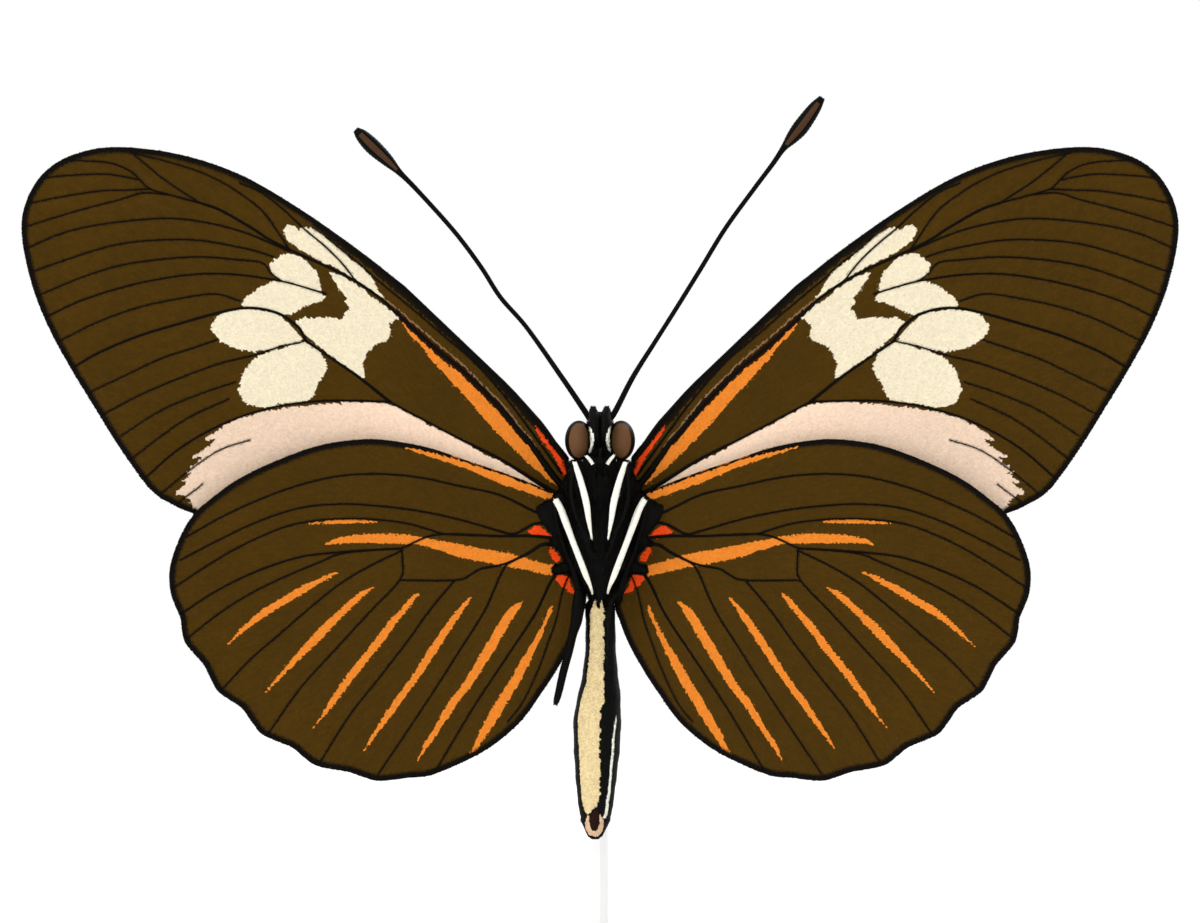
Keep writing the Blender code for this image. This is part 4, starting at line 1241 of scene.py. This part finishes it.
def add_tongue(surfaces):
    steps = 110
    angle = np.linspace(0, 3 * math.tau, steps)
    arm = np.linspace(0.52, 0.12, steps) * MM
    middle = place(*TONGUE_MIDDLE)
    path = np.stack([np.zeros(steps), -np.sin(angle) * arm, np.cos(angle) * arm], 1) + middle
    path = np.vstack([place(600, 447, -1.5)[None], path])
    radii = np.linspace(0.09, 0.05, len(path)) * MM
    radii *= 1 + 0.06 * np.cos(np.arange(len(path)) * math.tau / 2)
    corners, faces = tube(path, radii[:, None], (1, 0, 0), 10)
    tints = all_of(BODY_BLACK, len(faces))
    ride(add_object("proboscis_coil", corners, faces, surfaces["limb"], tints), "feeler", "proboscis")


def add_head_parts(surfaces):
    for suffix, side in SIDES:
        ride(add_eye(f"eye_{suffix}_facets", side, surfaces["eye"]), "eye", "eye_" + suffix)
        path = limb_path(PALP_PATH, PALP_RADII, side, 0.06 * MM)
        add_limb(f"palp_{suffix}_core", [(path, marked)], (0.05, 0.13, 0.04), 220, surfaces, "body_hair",
                 "palp_" + suffix)
    add_tongue(surfaces)
    add_feeler("antenna_left", RIGHT_FEELER, surfaces)
    add_feeler("antenna_right", LEFT_FEELER, surfaces)


# Stand, floor, light and camera

def add_cup(material):
    """The small cup at the rod's end that the thorax's back is glued into."""
    low, high = (np.array(corner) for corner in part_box("stand_rod"))
    height = high[2] - ROD_RADIUS
    profile = ((0.1, 0.42), (0.1, 0.6), (-0.5, 0.75), (-1.0, 1.05), (-1.05, 1.0), (-0.9, 0.6), (-0.9, 0.0))
    steps = 40
    angle = np.arange(steps) * math.tau / steps
    rings = []
    for depth, radius in np.array(profile) * MM:
        x, z = radius * np.cos(angle), height + radius * np.sin(angle)
        rings.append(np.stack([x, np.full(steps, low[1] + depth), z], 1))
    faces = ring_faces(len(profile), steps)
    ride(add_object("rod_cup", np.vstack(rings), faces, material), "stand_rod")


def finish_node(name, finish, roughness, grey, grain, height):
    """Gives a solid a finish with a fine grain, and returns the material."""
    made, tree, shader = principled(finish, roughness, Base_Color=grey)
    add_bump(tree, shader, add_noise(tree, grain).outputs["Fac"], height)
    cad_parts[name].data.materials[0] = made
    return made


def dress_stand():
    finish_node("stand_base", "base_satin_white", 0.38, (0.78, 0.78, 0.76, 1), 0.4 * MM, 0.004 * MM)
    add_cup(finish_node("stand_rod", "rod_white_lacquer", 0.45, (0.86, 0.86, 0.85, 1), 0.15 * MM, 0.003 * MM))


def add_stage():
    radius, steps = 2.5, 96
    ring = [(radius * math.cos(a), radius * math.sin(a), 0) for a in np.arange(steps) * math.tau / steps]
    surface, _, _ = principled(
        "floor_white", 0.9, Base_Color=(0.8, 0.8, 0.8, 1), Specular_IOR_Level=0.0,
        Emission_Color=(1, 1, 1, 1), Emission_Strength=0.2,
    )
    floor = add_object("floor", ring, [range(steps)], surface, None, False)
    floor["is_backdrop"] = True


LAMP_SIZE = 0.25
LAMP_TARGET = (0, 0, 0.03)
LENS, SENSOR = 400, 36  # millimetres
WING_DEPTH = 1.2 * MM  # the plane where the picture's scale holds


def add_light(name, location, size, power, target):
    lamp = bpy.data.lights.new(name, "AREA")
    lamp.size = size
    lamp.energy = power
    made = placed(name, lamp)
    made.location = location
    made.rotation_euler = (Vector(target) - Vector(location)).to_track_quat("-Z", "Y").to_euler()


def add_lights():
    world = bpy.data.worlds.new("studio")
    world.use_nodes = True
    world.node_tree.nodes["Background"].inputs["Color"].default_value = (1, 1, 1, 1)
    world.node_tree.nodes["Background"].inputs["Strength"].default_value = 1.0
    bpy.context.scene.world = world
    for name, location, power in (("key", (-0.35, -0.4, 0.45), 1.6), ("back", (0.3, 0.4, 0.4), 1.2)):
        add_light(name, location, LAMP_SIZE, power, LAMP_TARGET)


def add_camera():
    """Level, in front of the middle of the picture, at the distance that gives the picture's scale."""
    camera = bpy.data.cameras.new("camera")
    camera.lens = LENS
    camera.sensor_width = SENSOR
    camera.clip_start = 0.01
    camera.clip_end = 20
    distance = PICTURE[0] * PIXEL * LENS / SENSOR
    made = placed("camera", camera)
    middle = place(PICTURE[0] / 2, PICTURE[1] / 2, 0)
    made.location = (middle[0], WING_DEPTH - distance, middle[2])
    made.rotation_euler = (math.pi / 2, 0, 0)
    bpy.context.scene.camera = made
    bpy.context.scene.view_settings.view_transform = "Standard"


def main():
    surfaces = {
        "wing": tinted("wing_scales", 0.62, 0.35 * MM, 0.07, Specular_IOR_Level=0.06),
        "vein": tinted("wing_veins", 0.5, 0.12 * MM, 0.3, Specular_IOR_Level=0.05),
        "skin": tinted("body_skin", 0.6, 0.2 * MM, Specular_IOR_Level=0.08),
        "fur": tinted("body_fur", 0.55, 0.3 * MM, 0.3, Specular_IOR_Level=0.09),
        "limb": tinted("limb_shell", 0.55, 0.15 * MM, 0.3, Specular_IOR_Level=0.05),
        "eye": tinted("eye_facets", 0.5, 0.08 * MM, 0.2, Specular_IOR_Level=0.05),
    }
    forewing = add_wing("forewing", FOREWING_HINGE, FOREWING_VEINS, forewing_tints, surfaces)
    hindwing = add_wing("hindwing", HINDWING_HINGE, HINDWING_VEINS, hindwing_tints, surfaces)
    add_body((forewing, hindwing), surfaces)
    add_head_parts(surfaces)
    add_legs(surfaces)
    dress_stand()
    add_stage()
    add_lights()
    add_camera()


main()
boxes = {"cad": CAD_BOX, "visual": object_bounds()}
{name: [list(corner) for corner in box] for name, box in boxes.items()}
